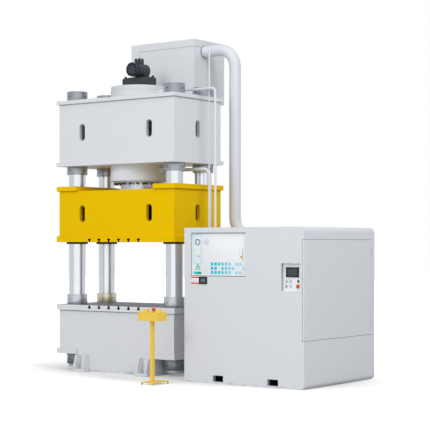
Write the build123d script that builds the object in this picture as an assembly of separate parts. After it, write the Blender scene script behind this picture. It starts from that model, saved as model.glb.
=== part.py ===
from build123d import *
import os
from math import cos, pi, sin, sqrt

os.makedirs("parts", exist_ok=True)

# Millimetres, +Z up, front of the press towards -Y.
# The origin is on the floor, on the centreline of the press.

# Plan of the welded beams: bed, slide and crown share one outline
body_width = 2220.0
body_depth = 1126.0
flange_overhang = 31.0
wall = 65.0
web = 50.0

# Levels
bed_height = 910.0
bolster_thickness = 83.0
bolster_to_crown = 2093.0
crown_height = 996.0
crown_bottom_plate = 58.0
crown_top_plate = 54.0
rest_gap = 307.0

# Columns, their bores and their round nuts
column_diameter = 250.0
column_edge_x = 40.0
column_edge_y = 95.0
column_clearance = 0.8
column_foot_gap = 45.0
column_head = 6.0
thread_clearance = 0.2
housing_wall = 52.0
nut_wall = 30.0
nut_height_crown_top = 150.0
nut_height_crown_under = 120.0
nut_height_bolster = 150.0
nut_height_bed = 165.0
spot_face_depth = 3.0
spot_face_margin = 4.0

# Round-ended windows in the crown and the slide
slot_width = 110.0
slot_length = 255.0
slot_share = 0.818
crown_slot_drop = 494.0
slide_slot_drop = 345.0

# Webs of the crown, as a share of the room beside the cylinder
crown_web_share = 0.34

# Slide
slide_bottom_plate = 89.0
slide_body_height = 770.0
slide_top_plate = 60.0
slide_end_plate = 71.0
slide_web_share = 0.39
corner_plate_margin = 77.0
slide_stroke = 750.0
bush_wall = 30.0
bush_lip = 22.0
bush_seat_clearance = 0.2
guide_clearance = 0.25

# T-slots in the bolster and in the underside of the slide
t_slot_count = 6
t_slot_pitch = 190.0
t_slot_neck = 30.0
t_slot_neck_depth = 26.0
t_slot_head = 54.0
t_slot_head_depth = 24.0

# Bed: corner plates over the lower nuts, and the feet
corner_plate_bottom = 250.0
corner_plate_thickness = 80.0
bed_floor_plate = 60.0
bed_web_offset = 240.0
foot_inset = 137.0
foot_length = 250.0
foot_reach = 145.0
foot_thickness = 40.0
gusset_spacing = 169.0
gusset_thickness = 30.0
gusset_reach = 140.0
gusset_top_reach = 89.0
gusset_toe = 31.0
anchor_hole_diameter = 34.0
anchor_setback = 62.0

# Main cylinder, ram and piston
cylinder_share = 0.3874
cylinder_shoulder = 50.0
cylinder_wall = 80.0
cylinder_drop = 236.0
cylinder_seat_clearance = 0.3
filling_port_diameter = 160.0
gland_step = 40.0
gland_thickness = 26.0
ram_annulus = 22.0
ram_clearance = 0.3
ram_seat_step = 80.0
ram_seat_thickness = 30.0
piston_length = 200.0
piston_clearance = 0.5
piston_top_gap = 20.0
piston_bottom_gap = 42.0
cap_rim_height = 114.0
cap_lip_height = 74.0
cap_lip_recess = 6.0

# Prefill valve on the cylinder cover
valve_block_width = 510.0
valve_block_depth = 190.0
valve_block_height = 150.0
valve_block_radius = 50.0
valve_diameter = 210.0
valve_length = 364.0
valve_axis_height = 259.0
valve_flange = 32.0
valve_neck = 8.0
valve_nose_radius = 45.0
valve_saddle_width = 150.0
valve_saddle_depth = 150.0
pilot_size = 100.0
pilot_top = 161.0
valve_fit = 0.2

# Oil tank behind the crown, and its brackets
tank_inset_left = 461.0
tank_inset_right = 510.0
tank_depth = 765.0
tank_height = 947.0
tank_sheet = 6.0
tank_gap_behind_flange = 0.0
tank_panel_left = 174.0
tank_panel_top = 117.0
tank_panel_radius = 60.0
tank_panel_proud = 4.0
bracket_offset = 330.0
bracket_thickness = 25.0
bracket_drop = 600.0
bracket_reach = 700.0
bracket_nose = 60.0
bracket_shelf_width = 120.0
bracket_shelf_thickness = 12.0

# Filling duct from the tank to the power unit
duct_diameter = 175.0
duct_sheet = 4.0
duct_bend = 280.0
duct_bend_steps = 8
duct_aisle = 37.0
duct_setback = 246.0
duct_drop = 173.0
duct_drop_cabinet = 104.0

# Pressure pipes: one to the cylinder's head, one to its lower end, one thin vent
pipe_bend_steps = 5
head_pipe_diameter = 35.0
head_pipe_aisle = 309.0
head_pipe_y = -32.0
head_pipe_height = 85.0
head_pipe_drop = 184.0
head_pipe_bend = 65.0
return_pipe_diameter = 50.0
return_pipe_aisle = 186.0
return_pipe_drop = 86.0
return_pipe_drop_cabinet = 284.0
return_pipe_bend = 110.0
vent_pipe_diameter = 22.0
vent_pipe_aisle = 177.0
vent_pipe_drop = 56.0
vent_pipe_bend = 70.0
vent_pipe_setback = 278.0
pipe_block = 84.0
pipe_block_thickness = 70.0
pipe_fit = 0.2

# Power unit cabinet
cabinet_aisle = 393.0
cabinet_width = 1973.0
cabinet_depth = 1839.0
cabinet_behind_duct = 125.0
cabinet_height = 2134.0
cabinet_sheet = 4.0
cabinet_radius = 70.0
cabinet_floor_height = 124.0
pocket_width = 172.0
pocket_height = 84.0
pocket_bottom = 28.0
pocket_wall = 6.0
pocket_left = 579.0
pocket_right_margin = 497.0
sill_width = 60.0

# Side door of the cabinet, folded round the front corner
door_wrap = 27.0
door_bottom = 640.0
door_drop = 169.0
door_rear_strip = 82.0
door_gap = 2.0
door_sheet = 3.0
door_stop = 30.0
door_rib_width = 60.0
hinge_radius = 6.0
hinge_stand_off = 0.5
hinge_pin_radius = 3.0
hinge_pin_clearance = 0.1
hinge_half = 45.0
hinge_leaf = 32.0
hinge_leaf_thickness = 3.0
hinge_inset = 180.0
hinge_play = 0.5

# Recessed panel, small display and control panel in the cabinet's front
panel_left = 126.0
panel_width = 910.0
panel_drop = 76.0
panel_height = 586.0
panel_depth = 22.0
display_left = 257.0
display_width = 139.0
display_gap = 14.0
display_height = 101.0
display_proud = 8.0
control_margin = 58.0
control_width = 306.0
control_drop = 477.0
control_height = 376.0
control_depth = 43.0
screen_inset = 60.0
screen_width = 192.0
screen_height = 126.0
screen_drop = 57.0
screen_thickness = 12.0
button_pitch_x = 63.0
button_pitch_z = 67.0
button_first_x = 55.0
button_upper_drop = 239.0
button_diameter = 24.0
button_proud = 12.0
button_stem = 16.0
button_travel = 4.0
stem_length = 45.0
stop_head_diameter = 40.0
stop_head_length = 16.0
stop_stem = 20.0
stop_shift = 5.0
stop_travel = 6.0
knob_length = 26.0
knob_width = 9.0
knob_depth = 16.0
knob_shaft = 12.0
play = 0.3

# Two-hand control pedestal, standing by itself in front of the press
pedestal_aisle = 127.0
pedestal_lead = 548.0
pedestal_height = 980.0
pedestal_box_width = 339.0
pedestal_box_depth = 203.0
pedestal_box_height = 117.0
pedestal_sheet = 3.0
pedestal_post = 45.0
pedestal_post_wall = 3.0
pedestal_base_width = 205.0
pedestal_base_depth = 346.0
pedestal_base_thickness = 10.0
pedestal_base_shift = 46.0
pedestal_foot_height = 30.0
pedestal_foot_size = 18.0
guard_diameter = 87.0
guard_wall = 4.0
guard_height = 36.0
guard_spacing = 212.0
palm_diameter = 60.0
palm_thickness = 14.0
palm_stem = 24.0
palm_stem_length = 36.0
palm_travel = 8.0
pedestal_stop_diameter = 55.0
pedestal_stop_neck = 12.0
pedestal_stop_height = 36.0
pedestal_stop_bevel = 9.0
pedestal_stop_setback = 28.0

# Power pack inside the cabinet
pack_left = 110.0
pack_right_margin = 883.0
pack_rear = 150.0
pack_front_margin = 389.0
pack_height = 640.0
pack_sheet = 6.0
motor_diameter = 360.0
motor_length = 620.0
motor_right_margin = 413.0
motor_axis_height = 420.0
motor_foot_width = 340.0
motor_foot_thickness = 30.0
pump_diameter = 200.0
pump_length = 260.0
manifold_width = 420.0
manifold_depth = 300.0
manifold_height = 220.0

# Worked-out levels and places of the press
bolster_top = bed_height + bolster_thickness
crown_bottom = bolster_top + bolster_to_crown
crown_top = crown_bottom + crown_height
slide_end_top = crown_bottom - rest_gap
slide_body_top = slide_end_top - slide_end_plate
slide_face = slide_body_top - slide_body_height
half_width = body_width / 2
half_depth = body_depth / 2
flange_half_width = half_width + flange_overhang
flange_half_depth = half_depth + flange_overhang
column_radius = column_diameter / 2
column_x = half_width - column_edge_x - column_radius
column_y = half_depth - column_edge_y - column_radius
column_places = [(sx * column_x, sy * column_y) for sx in (-1, 1) for sy in (-1, 1)]
nut_radius = column_radius + nut_wall
bush_radius = column_radius + guide_clearance + bush_wall
housing_x = column_x - column_radius - housing_wall
housing_y = column_y - column_radius - housing_wall
corner_plate_inner = column_x - column_radius - corner_plate_margin
foot_centre_x = corner_plate_inner - foot_inset

# Worked-out sizes of the cylinder, and of the webs and windows beside it
shoulder_radius = body_width * cylinder_share / 2
barrel_radius = shoulder_radius - cylinder_shoulder
bore_radius = barrel_radius - cylinder_wall
gland_radius = shoulder_radius - gland_step
ram_radius = bore_radius - ram_annulus
ram_seat_radius = shoulder_radius - ram_seat_step
crown_web_offset = barrel_radius + crown_web_share * (housing_x - web - barrel_radius)
slide_web_offset = housing_x * slide_web_share
slot_room = housing_x - web - crown_web_offset - web / 2 - slot_width
slot_offset = crown_web_offset + web / 2 + slot_width / 2 + slot_room * slot_share
cylinder_bottom = crown_bottom - cylinder_drop
cap_top = crown_top + cap_rim_height + cap_lip_height
piston_top = cylinder_bottom + piston_bottom_gap + slide_stroke + piston_length
bore_top = piston_top + piston_top_gap
valve_axis_z = cap_top + valve_axis_height

# Worked-out places of the tank, the duct and the pipes
tank_left = tank_inset_left - half_width
tank_right = half_width - tank_inset_right
tank_front = flange_half_depth + tank_gap_behind_flange
tank_bottom = crown_top
tank_top = tank_bottom + tank_height
duct_x = flange_half_width + duct_aisle
duct_y = tank_front + duct_setback
duct_high = tank_top - duct_drop
duct_low = cabinet_height - duct_drop_cabinet
head_pipe_x = flange_half_width + head_pipe_aisle
head_pipe_end = cabinet_height - head_pipe_drop
return_pipe_x = flange_half_width + return_pipe_aisle
return_pipe_end = cabinet_height - return_pipe_drop_cabinet
vent_pipe_x = flange_half_width + vent_pipe_aisle
vent_pipe_end_x = duct_x - vent_pipe_setback
vent_pipe_height = duct_high - vent_pipe_drop

# Worked-out places of the cabinet, its panels and the pedestal
cabinet_left = flange_half_width + cabinet_aisle
cabinet_right = cabinet_left + cabinet_width
cabinet_rear = duct_y + cabinet_behind_duct
cabinet_front = cabinet_rear - cabinet_depth
pocket_centres = [cabinet_left + pocket_left, cabinet_right - pocket_right_margin]
door_rear = cabinet_rear - door_rear_strip
door_top = cabinet_height - door_drop
panel_bottom = cabinet_height - panel_drop - panel_height
display_bottom = panel_bottom - display_gap - display_height
control_left = cabinet_width - control_margin - control_width
control_bottom = cabinet_height - control_drop - control_height
control_floor = cabinet_front + control_depth
pack_width = cabinet_width - pack_left - pack_right_margin
pack_depth = cabinet_depth - pack_rear - pack_front_margin
pedestal_x = cabinet_left - pedestal_aisle
pedestal_y = cabinet_front - pedestal_lead
pedestal_box_bottom = pedestal_height - pedestal_box_height


def block(x0, x1, y0, y1, z0, z1):
    """A box between two corners."""
    return Pos((x0 + x1) / 2, (y0 + y1) / 2, (z0 + z1) / 2) * Box(x1 - x0, y1 - y0, z1 - z0)


def post(x, y, z0, z1, radius):
    """An upright cylinder."""
    return Pos(x, y, (z0 + z1) / 2) * Cylinder(radius, z1 - z0)


def rod_y(x, z, y0, y1, radius):
    """A cylinder lying front to back."""
    return Pos(x, (y0 + y1) / 2, z) * Rot(90, 0, 0) * Cylinder(radius, y1 - y0)


def turned(outline, x=0.0, y=0.0):
    """A solid of revolution about an upright axis, from (radius, height) points."""
    face = make_face(Plane.XZ * Polyline(*outline, close=True))
    return Pos(x, y, 0) * revolve(face, Axis.Z)


def front_to_back(face, y0, y1):
    """Extrude a face drawn in X and Z from y0 to y1."""
    return extrude(Plane.XZ.offset(-y1) * face, amount=y1 - y0)


def side_to_side(face, x0, x1):
    """Extrude a face drawn in Y and Z from x0 to x1."""
    return extrude(Plane.YZ.offset(x0) * face, amount=x1 - x0)


def windows(level):
    """Round-ended windows through the four walls, their middle at the given level."""
    slot = SlotOverall(slot_length, slot_width, rotation=90)
    cuts = []
    for sx in (-1, 1):
        cuts.append(front_to_back(Pos(sx * slot_offset, level) * slot, -half_depth - 1, half_depth + 1))
    cuts.append(side_to_side(Pos(0, level) * slot, housing_x, half_width + 1))
    cuts.append(side_to_side(Pos(0, level) * slot, -half_width - 1, -housing_x))
    return cuts


def column_bores(radius, z0, z1):
    return [post(x, y, z0 - 1, z1 + 1, radius) for x, y in column_places]


def t_slot_centres():
    return [(i - (t_slot_count - 1) / 2) * t_slot_pitch for i in range(t_slot_count)]


def t_slots(face_level, inwards):
    """T-slots from front to back; inwards is -1 for a top face and 1 for an underside."""
    cuts = []
    for x in t_slot_centres():
        neck_end = face_level + inwards * t_slot_neck_depth
        head_end = neck_end + inwards * t_slot_head_depth
        lip = face_level - inwards
        half_neck, half_head = t_slot_neck / 2, t_slot_head / 2
        outline = Polyline(
            (x - half_neck, lip), (x - half_neck, neck_end), (x - half_head, neck_end),
            (x - half_head, head_end), (x + half_head, head_end), (x + half_head, neck_end),
            (x + half_neck, neck_end), (x + half_neck, lip),
            close=True,
        )
        cuts.append(front_to_back(make_face(outline), -flange_half_depth - 1, flange_half_depth + 1))
    return cuts


def flange(z0, z1):
    """A plate as wide and deep as the flanges of the beams."""
    return block(-flange_half_width, flange_half_width, -flange_half_depth, flange_half_depth, z0, z1)


def crown():
    """Welded upper beam: flange plates, walls, webs beside the cylinder and column housings."""
    beam = block(-half_width, half_width, -half_depth, half_depth, crown_bottom, crown_top)
    low, high = crown_bottom + crown_bottom_plate, crown_top - crown_top_plate
    for z0, z1 in ((crown_bottom, low), (high, crown_top)):
        beam += flange(z0, z1)
    inner = half_depth - wall
    beam -= block(-crown_web_offset + web / 2, crown_web_offset - web / 2, -inner, inner, low, high)
    for side in (-1, 1):
        near, far = sorted((side * (crown_web_offset + web / 2), side * (housing_x - web)))
        beam -= block(near, far, -inner, inner, low, high)
        near, far = sorted((side * housing_x, side * (half_width - wall)))
        beam -= block(near, far, -housing_y, housing_y, low, high)
    beam -= windows(crown_top - crown_slot_drop)
    beam -= column_bores(column_radius + column_clearance, crown_bottom, crown_top)
    beam -= post(0, 0, crown_bottom - 1, crown_top + 1, barrel_radius + cylinder_seat_clearance)
    return beam


def slide():
    """Moving beam: T-slotted bottom plate, windows, webs and column housings."""
    low = slide_face + slide_bottom_plate
    beam = block(-half_width, half_width, -half_depth, half_depth, slide_face, slide_body_top)
    beam += flange(slide_face, low)
    inner = half_depth - wall
    high = slide_body_top - slide_top_plate
    beam -= block(-slide_web_offset + web / 2, slide_web_offset - web / 2, -inner, inner, low, high)
    for side in (-1, 1):
        near, far = sorted((side * (slide_web_offset + web / 2), side * (housing_x - web)))
        beam -= block(near, far, -inner, inner, low, high)
        near, far = sorted((side * housing_x, side * (half_width - wall)))
        beam -= block(near, far, -housing_y, housing_y, low, slide_body_top + 1)
    beam -= windows(slide_body_top - slide_slot_drop)
    beam -= column_bores(bush_radius + bush_seat_clearance, slide_face, slide_body_top)
    return beam - t_slots(slide_face, 1)


def slide_end_plates():
    """Thick plates on the slide's two ends, over its column housings."""
    pieces = []
    for x0, x1 in ((-flange_half_width, -corner_plate_inner), (corner_plate_inner, flange_half_width)):
        plate = block(x0, x1, -flange_half_depth, flange_half_depth, slide_body_top, slide_end_top)
        pieces.append(plate - column_bores(bush_radius + bush_seat_clearance, slide_body_top, slide_end_top))
    return pieces


def gusset_outline():
    """Side view of a foot gusset on the front wall, sloping from its top to its toe."""
    face_y = -half_depth
    return Polyline(
        (face_y, foot_thickness), (face_y, corner_plate_bottom),
        (face_y - gusset_top_reach, corner_plate_bottom), (face_y - gusset_reach, foot_thickness + gusset_toe),
        (face_y - gusset_reach, foot_thickness),
        close=True,
    )


def bed_feet():
    """Foot plates with gussets in pairs, two in front and two behind, each with an anchor hole."""
    plate = block(
        foot_centre_x - foot_length / 2, foot_centre_x + foot_length / 2,
        -half_depth - foot_reach, -half_depth, 0, foot_thickness,
    )
    hole = anchor_hole_diameter / 2
    plate -= post(foot_centre_x, -half_depth - anchor_setback, -1, foot_thickness + 1, hole)
    foot = plate
    for side in (-1, 1):
        middle = foot_centre_x + side * gusset_spacing / 2
        face = make_face(gusset_outline())
        foot += side_to_side(face, middle - gusset_thickness / 2, middle + gusset_thickness / 2)
    pair = [foot, mirror(foot, Plane.YZ)]
    return pair + [mirror(piece, Plane.XZ) for piece in pair]


def bed():
    """Welded lower beam: a box down to the floor between the columns, corner plates over the nuts."""
    corner_top = corner_plate_bottom + corner_plate_thickness
    beam = block(-half_width, half_width, -half_depth, half_depth, corner_plate_bottom, bed_height)
    beam += block(-corner_plate_inner, corner_plate_inner, -half_depth, half_depth, 0, corner_plate_bottom)
    for x0, x1 in ((-flange_half_width, -corner_plate_inner), (corner_plate_inner, flange_half_width)):
        beam += block(x0, x1, -flange_half_depth, flange_half_depth, corner_plate_bottom, corner_top)
    inner = half_depth - wall
    edges = (-corner_plate_inner + wall, -bed_web_offset - web / 2, -bed_web_offset + web / 2,
             bed_web_offset - web / 2, bed_web_offset + web / 2, corner_plate_inner - wall)
    for x0, x1 in zip(edges[0::2], edges[1::2]):
        for y0, y1 in ((-inner, -web / 2), (web / 2, inner)):
            beam -= block(x0, x1, y0, y1, bed_floor_plate, bed_height + 1)
    for side in (-1, 1):
        near, far = sorted((side * housing_x, side * (half_width - wall)))
        beam -= block(near, far, -housing_y, housing_y, corner_top, bed_height + 1)
    return beam - column_bores(column_radius + column_clearance, corner_plate_bottom, bed_height)


def bolster():
    """T-slotted table plate on the bed, spot-faced where the nuts bear on it."""
    plate = flange(bed_height, bolster_top)
    plate -= column_bores(column_radius + column_clearance, bed_height, bolster_top)
    seat = bolster_top - spot_face_depth
    plate -= [post(x, y, seat, bolster_top + 1, nut_radius + spot_face_margin) for x, y in column_places]
    return plate - t_slots(bolster_top, -1)


def column(x, y):
    top = crown_top + nut_height_crown_top + column_head
    return post(x, y, column_foot_gap, top, column_radius)


def nut(x, y, z0, z1):
    """Round nut on the column's thread."""
    hole = column_radius + thread_clearance
    return post(x, y, z0, z1, nut_radius) - post(x, y, z0 - 1, z1 + 1, hole)


def crown_nuts():
    pieces = []
    for x, y in column_places:
        pieces.append(nut(x, y, crown_top, crown_top + nut_height_crown_top))
        pieces.append(nut(x, y, crown_bottom - nut_height_crown_under, crown_bottom))
    return pieces


def bed_nuts():
    pieces = []
    for x, y in column_places:
        pieces.append(nut(x, y, bolster_top - spot_face_depth, bolster_top + nut_height_bolster))
        pieces.append(nut(x, y, corner_plate_bottom - nut_height_bed, corner_plate_bottom))
    return pieces


def guide_bushes():
    """Bronze bushes pressed into the slide, standing out below it as the wiper seats."""
    pieces = []
    for x, y in column_places:
        low, bore = slide_face - bush_lip, column_radius + guide_clearance
        outer = post(x, y, low, slide_end_top, bush_radius)
        pieces.append(outer - post(x, y, low - 1, slide_end_top + 1, bore))
    return pieces


def cylinder():
    """Main cylinder: its shoulder bears on the crown from below, its barrel passes up through it."""
    port = filling_port_diameter / 2
    return turned([
        (bore_radius, cylinder_bottom), (shoulder_radius, cylinder_bottom), (shoulder_radius, crown_bottom),
        (barrel_radius, crown_bottom), (barrel_radius, crown_top), (port, crown_top), (port, bore_top),
        (bore_radius, bore_top),
    ])


def cylinder_cap():
    """Head cap that clamps the crown against the cylinder's shoulder, with a stepped upper rim."""
    lip = shoulder_radius - cap_lip_recess
    step = crown_top + cap_rim_height
    return turned([
        (0, crown_top), (shoulder_radius, crown_top), (shoulder_radius, step), (lip, step), (lip, cap_top),
        (0, cap_top),
    ])


def gland():
    """Ring that holds the rod seal at the cylinder's lower end."""
    low = cylinder_bottom - gland_thickness
    ring = post(0, 0, low, cylinder_bottom, gland_radius)
    return ring - post(0, 0, low - 1, cylinder_bottom + 1, ram_radius + ram_clearance)


def ram():
    """Chromed ram with its piston head and the seat ring that is bolted to the slide."""
    head = bore_radius - piston_clearance
    seat_top = slide_body_top + ram_seat_thickness
    return turned([
        (0, slide_body_top), (ram_seat_radius, slide_body_top), (ram_seat_radius, seat_top),
        (ram_radius, seat_top), (ram_radius, piston_top - piston_length), (head, piston_top - piston_length),
        (head, piston_top), (0, piston_top),
    ])


def valve_block():
    """Prefill valve block with rounded shoulders and a saddle under the valve body."""
    half = valve_block_width / 2
    top = cap_top + valve_block_height
    outline = Polyline((-half, cap_top), (-half, top), (half, top), (half, cap_top), close=True)
    face = make_face(outline)
    face = fillet(face.vertices().group_by(Axis.Z)[-1], valve_block_radius)
    body = front_to_back(face, -valve_block_depth / 2, valve_block_depth / 2)
    across, deep = valve_saddle_width / 2, valve_saddle_depth / 2
    body += block(-across, across, -deep, deep, top, valve_axis_z)
    return body - rod_y(0, valve_axis_z, -valve_length, valve_length, valve_diameter / 2 + valve_fit)


def valve_body():
    """Horizontal valve body: flanged cap in front, a neck behind it and a tapered nose."""
    radius, half = valve_diameter / 2, valve_length / 2
    neck_start, neck_end = valve_flange - half, 2 * valve_flange - half
    body = turned([
        (0, -half), (radius, -half), (radius, neck_start), (radius - valve_neck, neck_start),
        (radius - valve_neck, neck_end), (radius, neck_end), (radius, half - valve_nose_radius),
        (radius - valve_nose_radius, half), (0, half),
    ])
    return Pos(0, 0, valve_axis_z) * Rot(-90, 0, 0) * body


def valve_pilot():
    """Small pilot block on top of the valve body."""
    half = pilot_size / 2
    top = valve_axis_z + pilot_top
    body = block(-half, half, -half, half, valve_axis_z + valve_diameter / 4, top)
    return body - rod_y(0, valve_axis_z, -pilot_size, pilot_size, valve_diameter / 2 + valve_fit)


def tank():
    """Sheet-steel oil tank with a raised front panel."""
    rear, sheet = tank_front + tank_depth, tank_sheet
    box = block(tank_left, tank_right, tank_front, rear, tank_bottom, tank_top)
    box -= block(
        tank_left + sheet, tank_right - sheet, tank_front + sheet, rear - sheet,
        tank_bottom + sheet, tank_top - sheet,
    )
    left, high = tank_left + tank_panel_left, tank_top - tank_panel_top
    face = make_face(Polyline(
        (left, tank_bottom), (left, high), (tank_right, high), (tank_right, tank_bottom), close=True,
    ))
    face = fillet(face.vertices().sort_by(Axis.X)[:2].sort_by(Axis.Z)[-1], tank_panel_radius)
    box += front_to_back(face, tank_front - tank_panel_proud, tank_front)
    port = Pos(tank_right - sheet / 2, duct_y, duct_high) * Rot(0, 90, 0)
    return box - port * Cylinder(duct_diameter / 2 - duct_sheet, 3 * sheet)


def tank_brackets():
    """Two gusseted brackets on the crown's rear wall with shelf plates under the tank."""
    under = tank_bottom - bracket_shelf_thickness
    clear = crown_top - crown_top_plate
    root, edge = half_depth, flange_half_depth + 1
    tip = edge + bracket_reach
    side = Polyline(
        (root, clear - bracket_drop), (root, clear), (edge, clear), (edge, under), (tip, under),
        (tip, under - bracket_nose), (root + bracket_nose, clear - bracket_drop), close=True,
    )
    pieces = []
    for sx in (-1, 1):
        x = sx * bracket_offset
        plate = side_to_side(make_face(side), x - bracket_thickness / 2, x + bracket_thickness / 2)
        shelf = block(x - bracket_shelf_width / 2, x + bracket_shelf_width / 2, edge, tip, under, tank_bottom)
        pieces.append(plate + shelf)
    return pieces


def bent_route(points, bend, steps):
    """Points along straight runs; each square corner is turned on a quarter circle, in short steps."""
    stops = [Vector(*point) for point in points]
    route = [stops[0]]
    for before, corner, after in zip(stops, stops[1:], stops[2:]):
        back = (before - corner).normalized()
        ahead = (after - corner).normalized()
        for step in range(steps + 1):
            angle = step / steps * pi / 2
            route.append(corner + back * (bend * (1 - sin(angle))) + ahead * (bend * (1 - cos(angle))))
    route.append(stops[-1])
    return route


def pipe(points, bend, steps, diameter, bore=0.0):
    """A pipe along straight runs, joined by bends of one radius."""
    route = bent_route(points, bend, steps)
    section = Circle(diameter / 2)
    if bore:
        section -= Circle(bore / 2)
    start = Plane(route[0], z_dir=route[1] - route[0])
    return sweep(start * section, path=Polyline(*route), transition=Transition.RIGHT)


def duct_points():
    return [(tank_right, duct_y, duct_high), (duct_x, duct_y, duct_high),
            (duct_x, duct_y, duct_low), (cabinet_left, duct_y, duct_low)]


def duct():
    """Filling duct: out of the tank's side, down and into the power unit."""
    return pipe(duct_points(), duct_bend, duct_bend_steps, duct_diameter, duct_diameter - 2 * duct_sheet)


def pressure_pipe_points(x, y, level, end_level):
    """Route from a flange block on the cylinder, down, and into the power unit's side."""
    start = shoulder_radius + pipe_block_thickness
    return [(start, y, level), (x, y, level), (x, y, end_level), (cabinet_left, y, end_level)]


def head_pipe_points():
    return pressure_pipe_points(head_pipe_x, head_pipe_y, crown_top + head_pipe_height, head_pipe_end)


def return_pipe_points():
    return pressure_pipe_points(return_pipe_x, 0, crown_bottom - return_pipe_drop, return_pipe_end)


def pipe_head():
    return pipe(head_pipe_points(), head_pipe_bend, pipe_bend_steps, head_pipe_diameter)


def pipe_return():
    return pipe(return_pipe_points(), return_pipe_bend, pipe_bend_steps, return_pipe_diameter)


def pipe_vent():
    """Thin pipe from the top of the return pipe's bend up to the side of the duct."""
    offset = vent_pipe_x - (return_pipe_x - return_pipe_bend)
    start = crown_bottom - return_pipe_drop - return_pipe_bend + sqrt(return_pipe_bend ** 2 - offset ** 2)
    points = [(vent_pipe_x, 0, start), (vent_pipe_x, 0, vent_pipe_height),
              (vent_pipe_end_x, duct_y, vent_pipe_height)]
    body = pipe(points, vent_pipe_bend, pipe_bend_steps, vent_pipe_diameter)
    round_pipe, round_duct = return_pipe_diameter + 2 * pipe_fit, duct_diameter + 2 * pipe_fit
    body -= pipe(return_pipe_points(), return_pipe_bend, pipe_bend_steps, round_pipe)
    return body - pipe(duct_points(), duct_bend, duct_bend_steps, round_duct)


def pipe_blocks():
    """Flange blocks where the two pressure pipes meet the cylinder."""
    half = pipe_block / 2
    wall_of_cylinder = post(0, 0, cylinder_bottom, cap_top, shoulder_radius + pipe_fit)
    pieces = []
    for start, y, level in (head_pipe_points()[0], return_pipe_points()[0]):
        body = block(shoulder_radius - half, start, y - half, y + half, level - half, level + half)
        pieces.append(body - wall_of_cylinder)
    return pieces


def cabinet_outline(inset=0.0):
    """End view of the cabinet: square on the left, rounded on the right."""
    radius = cabinet_radius - inset
    face = make_face(Polyline(
        (cabinet_left + inset, inset), (cabinet_right - inset, inset),
        (cabinet_right - inset, cabinet_height - inset), (cabinet_left + inset, cabinet_height - inset),
        close=True,
    ))
    return fillet(face.vertices().sort_by(Axis.X)[-2:], radius)


def door_space(gap):
    """The space that the side door fills, grown by a gap."""
    return block(
        cabinet_right - door_wrap - gap, cabinet_right + 1, cabinet_front - 1, door_rear + gap,
        door_bottom - gap, door_top + gap,
    )


def cabinet_shell():
    """Bent outer sheet, with the stop frame behind the side door."""
    inner_front, inner_rear = cabinet_front + cabinet_sheet, cabinet_rear - cabinet_sheet
    shell = front_to_back(cabinet_outline(), inner_front, inner_rear)
    shell -= front_to_back(cabinet_outline(cabinet_sheet), inner_front - 1, inner_rear + 1)
    shell -= door_space(door_gap)
    stop_x = cabinet_right - door_wrap - door_gap
    stop = block(
        stop_x - cabinet_sheet, stop_x, inner_front, door_rear + door_stop,
        door_bottom - door_stop, door_top + door_stop,
    )
    stop -= block(
        stop_x - 2 * cabinet_sheet, stop_x + 1, inner_front + door_stop, door_rear - door_stop,
        door_bottom + door_stop, door_top - door_stop,
    )
    back = door_rear + door_stop - cabinet_sheet
    stop += block(stop_x - cabinet_sheet, cabinet_right - cabinet_sheet, back, back + cabinet_sheet,
                  door_bottom - door_stop, door_top + door_stop)
    shell += stop
    port = Cylinder(duct_diameter / 2 - duct_sheet, 3 * cabinet_sheet)
    return shell - Pos(cabinet_left, duct_y, duct_low) * Rot(0, 90, 0) * port


def pocket_openings(y0, y1, grow=0.0):
    pieces = []
    for middle in pocket_centres:
        pieces.append(block(
            middle - pocket_width / 2 - grow, middle + pocket_width / 2 + grow, y0, y1,
            pocket_bottom - grow, pocket_bottom + pocket_height + grow,
        ))
    return pieces


def cabinet_front_plate():
    """Front sheet with the panel, display and control openings and the fork pockets."""
    y0, y1 = cabinet_front, cabinet_front + cabinet_sheet
    plate = front_to_back(cabinet_outline(), y0, y1)
    plate -= door_space(door_gap)
    plate -= pocket_openings(y0 - 1, y1 + 1)
    for left, width, bottom, height in (
        (panel_left, panel_width, panel_bottom, panel_height),
        (control_left, control_width, control_bottom, control_height),
    ):
        x0 = cabinet_left + left
        plate -= block(x0, x0 + width, y0 - 1, y1 + 1, bottom, bottom + height)
    return plate


def cabinet_back_plate():
    y0, y1 = cabinet_rear - cabinet_sheet, cabinet_rear
    plate = front_to_back(cabinet_outline(), y0, y1)
    return plate - pocket_openings(y0 - 1, y1 + 1)


def cabinet_base():
    """Skid inside the cabinet: fork tubes, side sills and the floor plate."""
    y0, y1 = cabinet_front + cabinet_sheet, cabinet_rear - cabinet_sheet
    bottom = cabinet_sheet
    under = pocket_bottom + pocket_height + pocket_wall
    x0, x1 = cabinet_left + cabinet_sheet, cabinet_right - cabinet_radius
    base = block(x0, x1, y0, y1, under, cabinet_floor_height)
    for centre in (x0 + sill_width / 2, x1 - sill_width / 2):
        base += block(centre - sill_width / 2, centre + sill_width / 2, y0, y1, bottom, under)
    for tube in pocket_openings(y0, y1, pocket_wall):
        base += tube
    base -= pocket_openings(y0 - 1, y1 + 1)
    return base


def tray(left, width, bottom, height, depth):
    """Recessed sheet tray set in the cabinet's front, its walls flush with the sheet."""
    x0, sheet = cabinet_left + left, cabinet_sheet
    y0, y1 = cabinet_front, cabinet_front + depth
    body = block(x0, x0 + width, y0, y1 + sheet, bottom, bottom + height)
    return body - block(x0 + sheet, x0 + width - sheet, y0 - 1, y1, bottom + sheet, bottom + height - sheet)


def info_panel():
    return tray(panel_left, panel_width, panel_bottom, panel_height, panel_depth)


def display():
    """Small digital display standing out from the cabinet's front."""
    x0 = cabinet_left + display_left
    body = block(x0, x0 + display_width, cabinet_front - display_proud, cabinet_front, display_bottom,
                 display_bottom + display_height)
    window = display_proud / 2
    margin = 2 * display_proud
    return body - block(x0 + margin, x0 + display_width - margin, cabinet_front - display_proud - 1,
                        cabinet_front - display_proud + window, display_bottom + margin,
                        display_bottom + display_height - margin)


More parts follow.
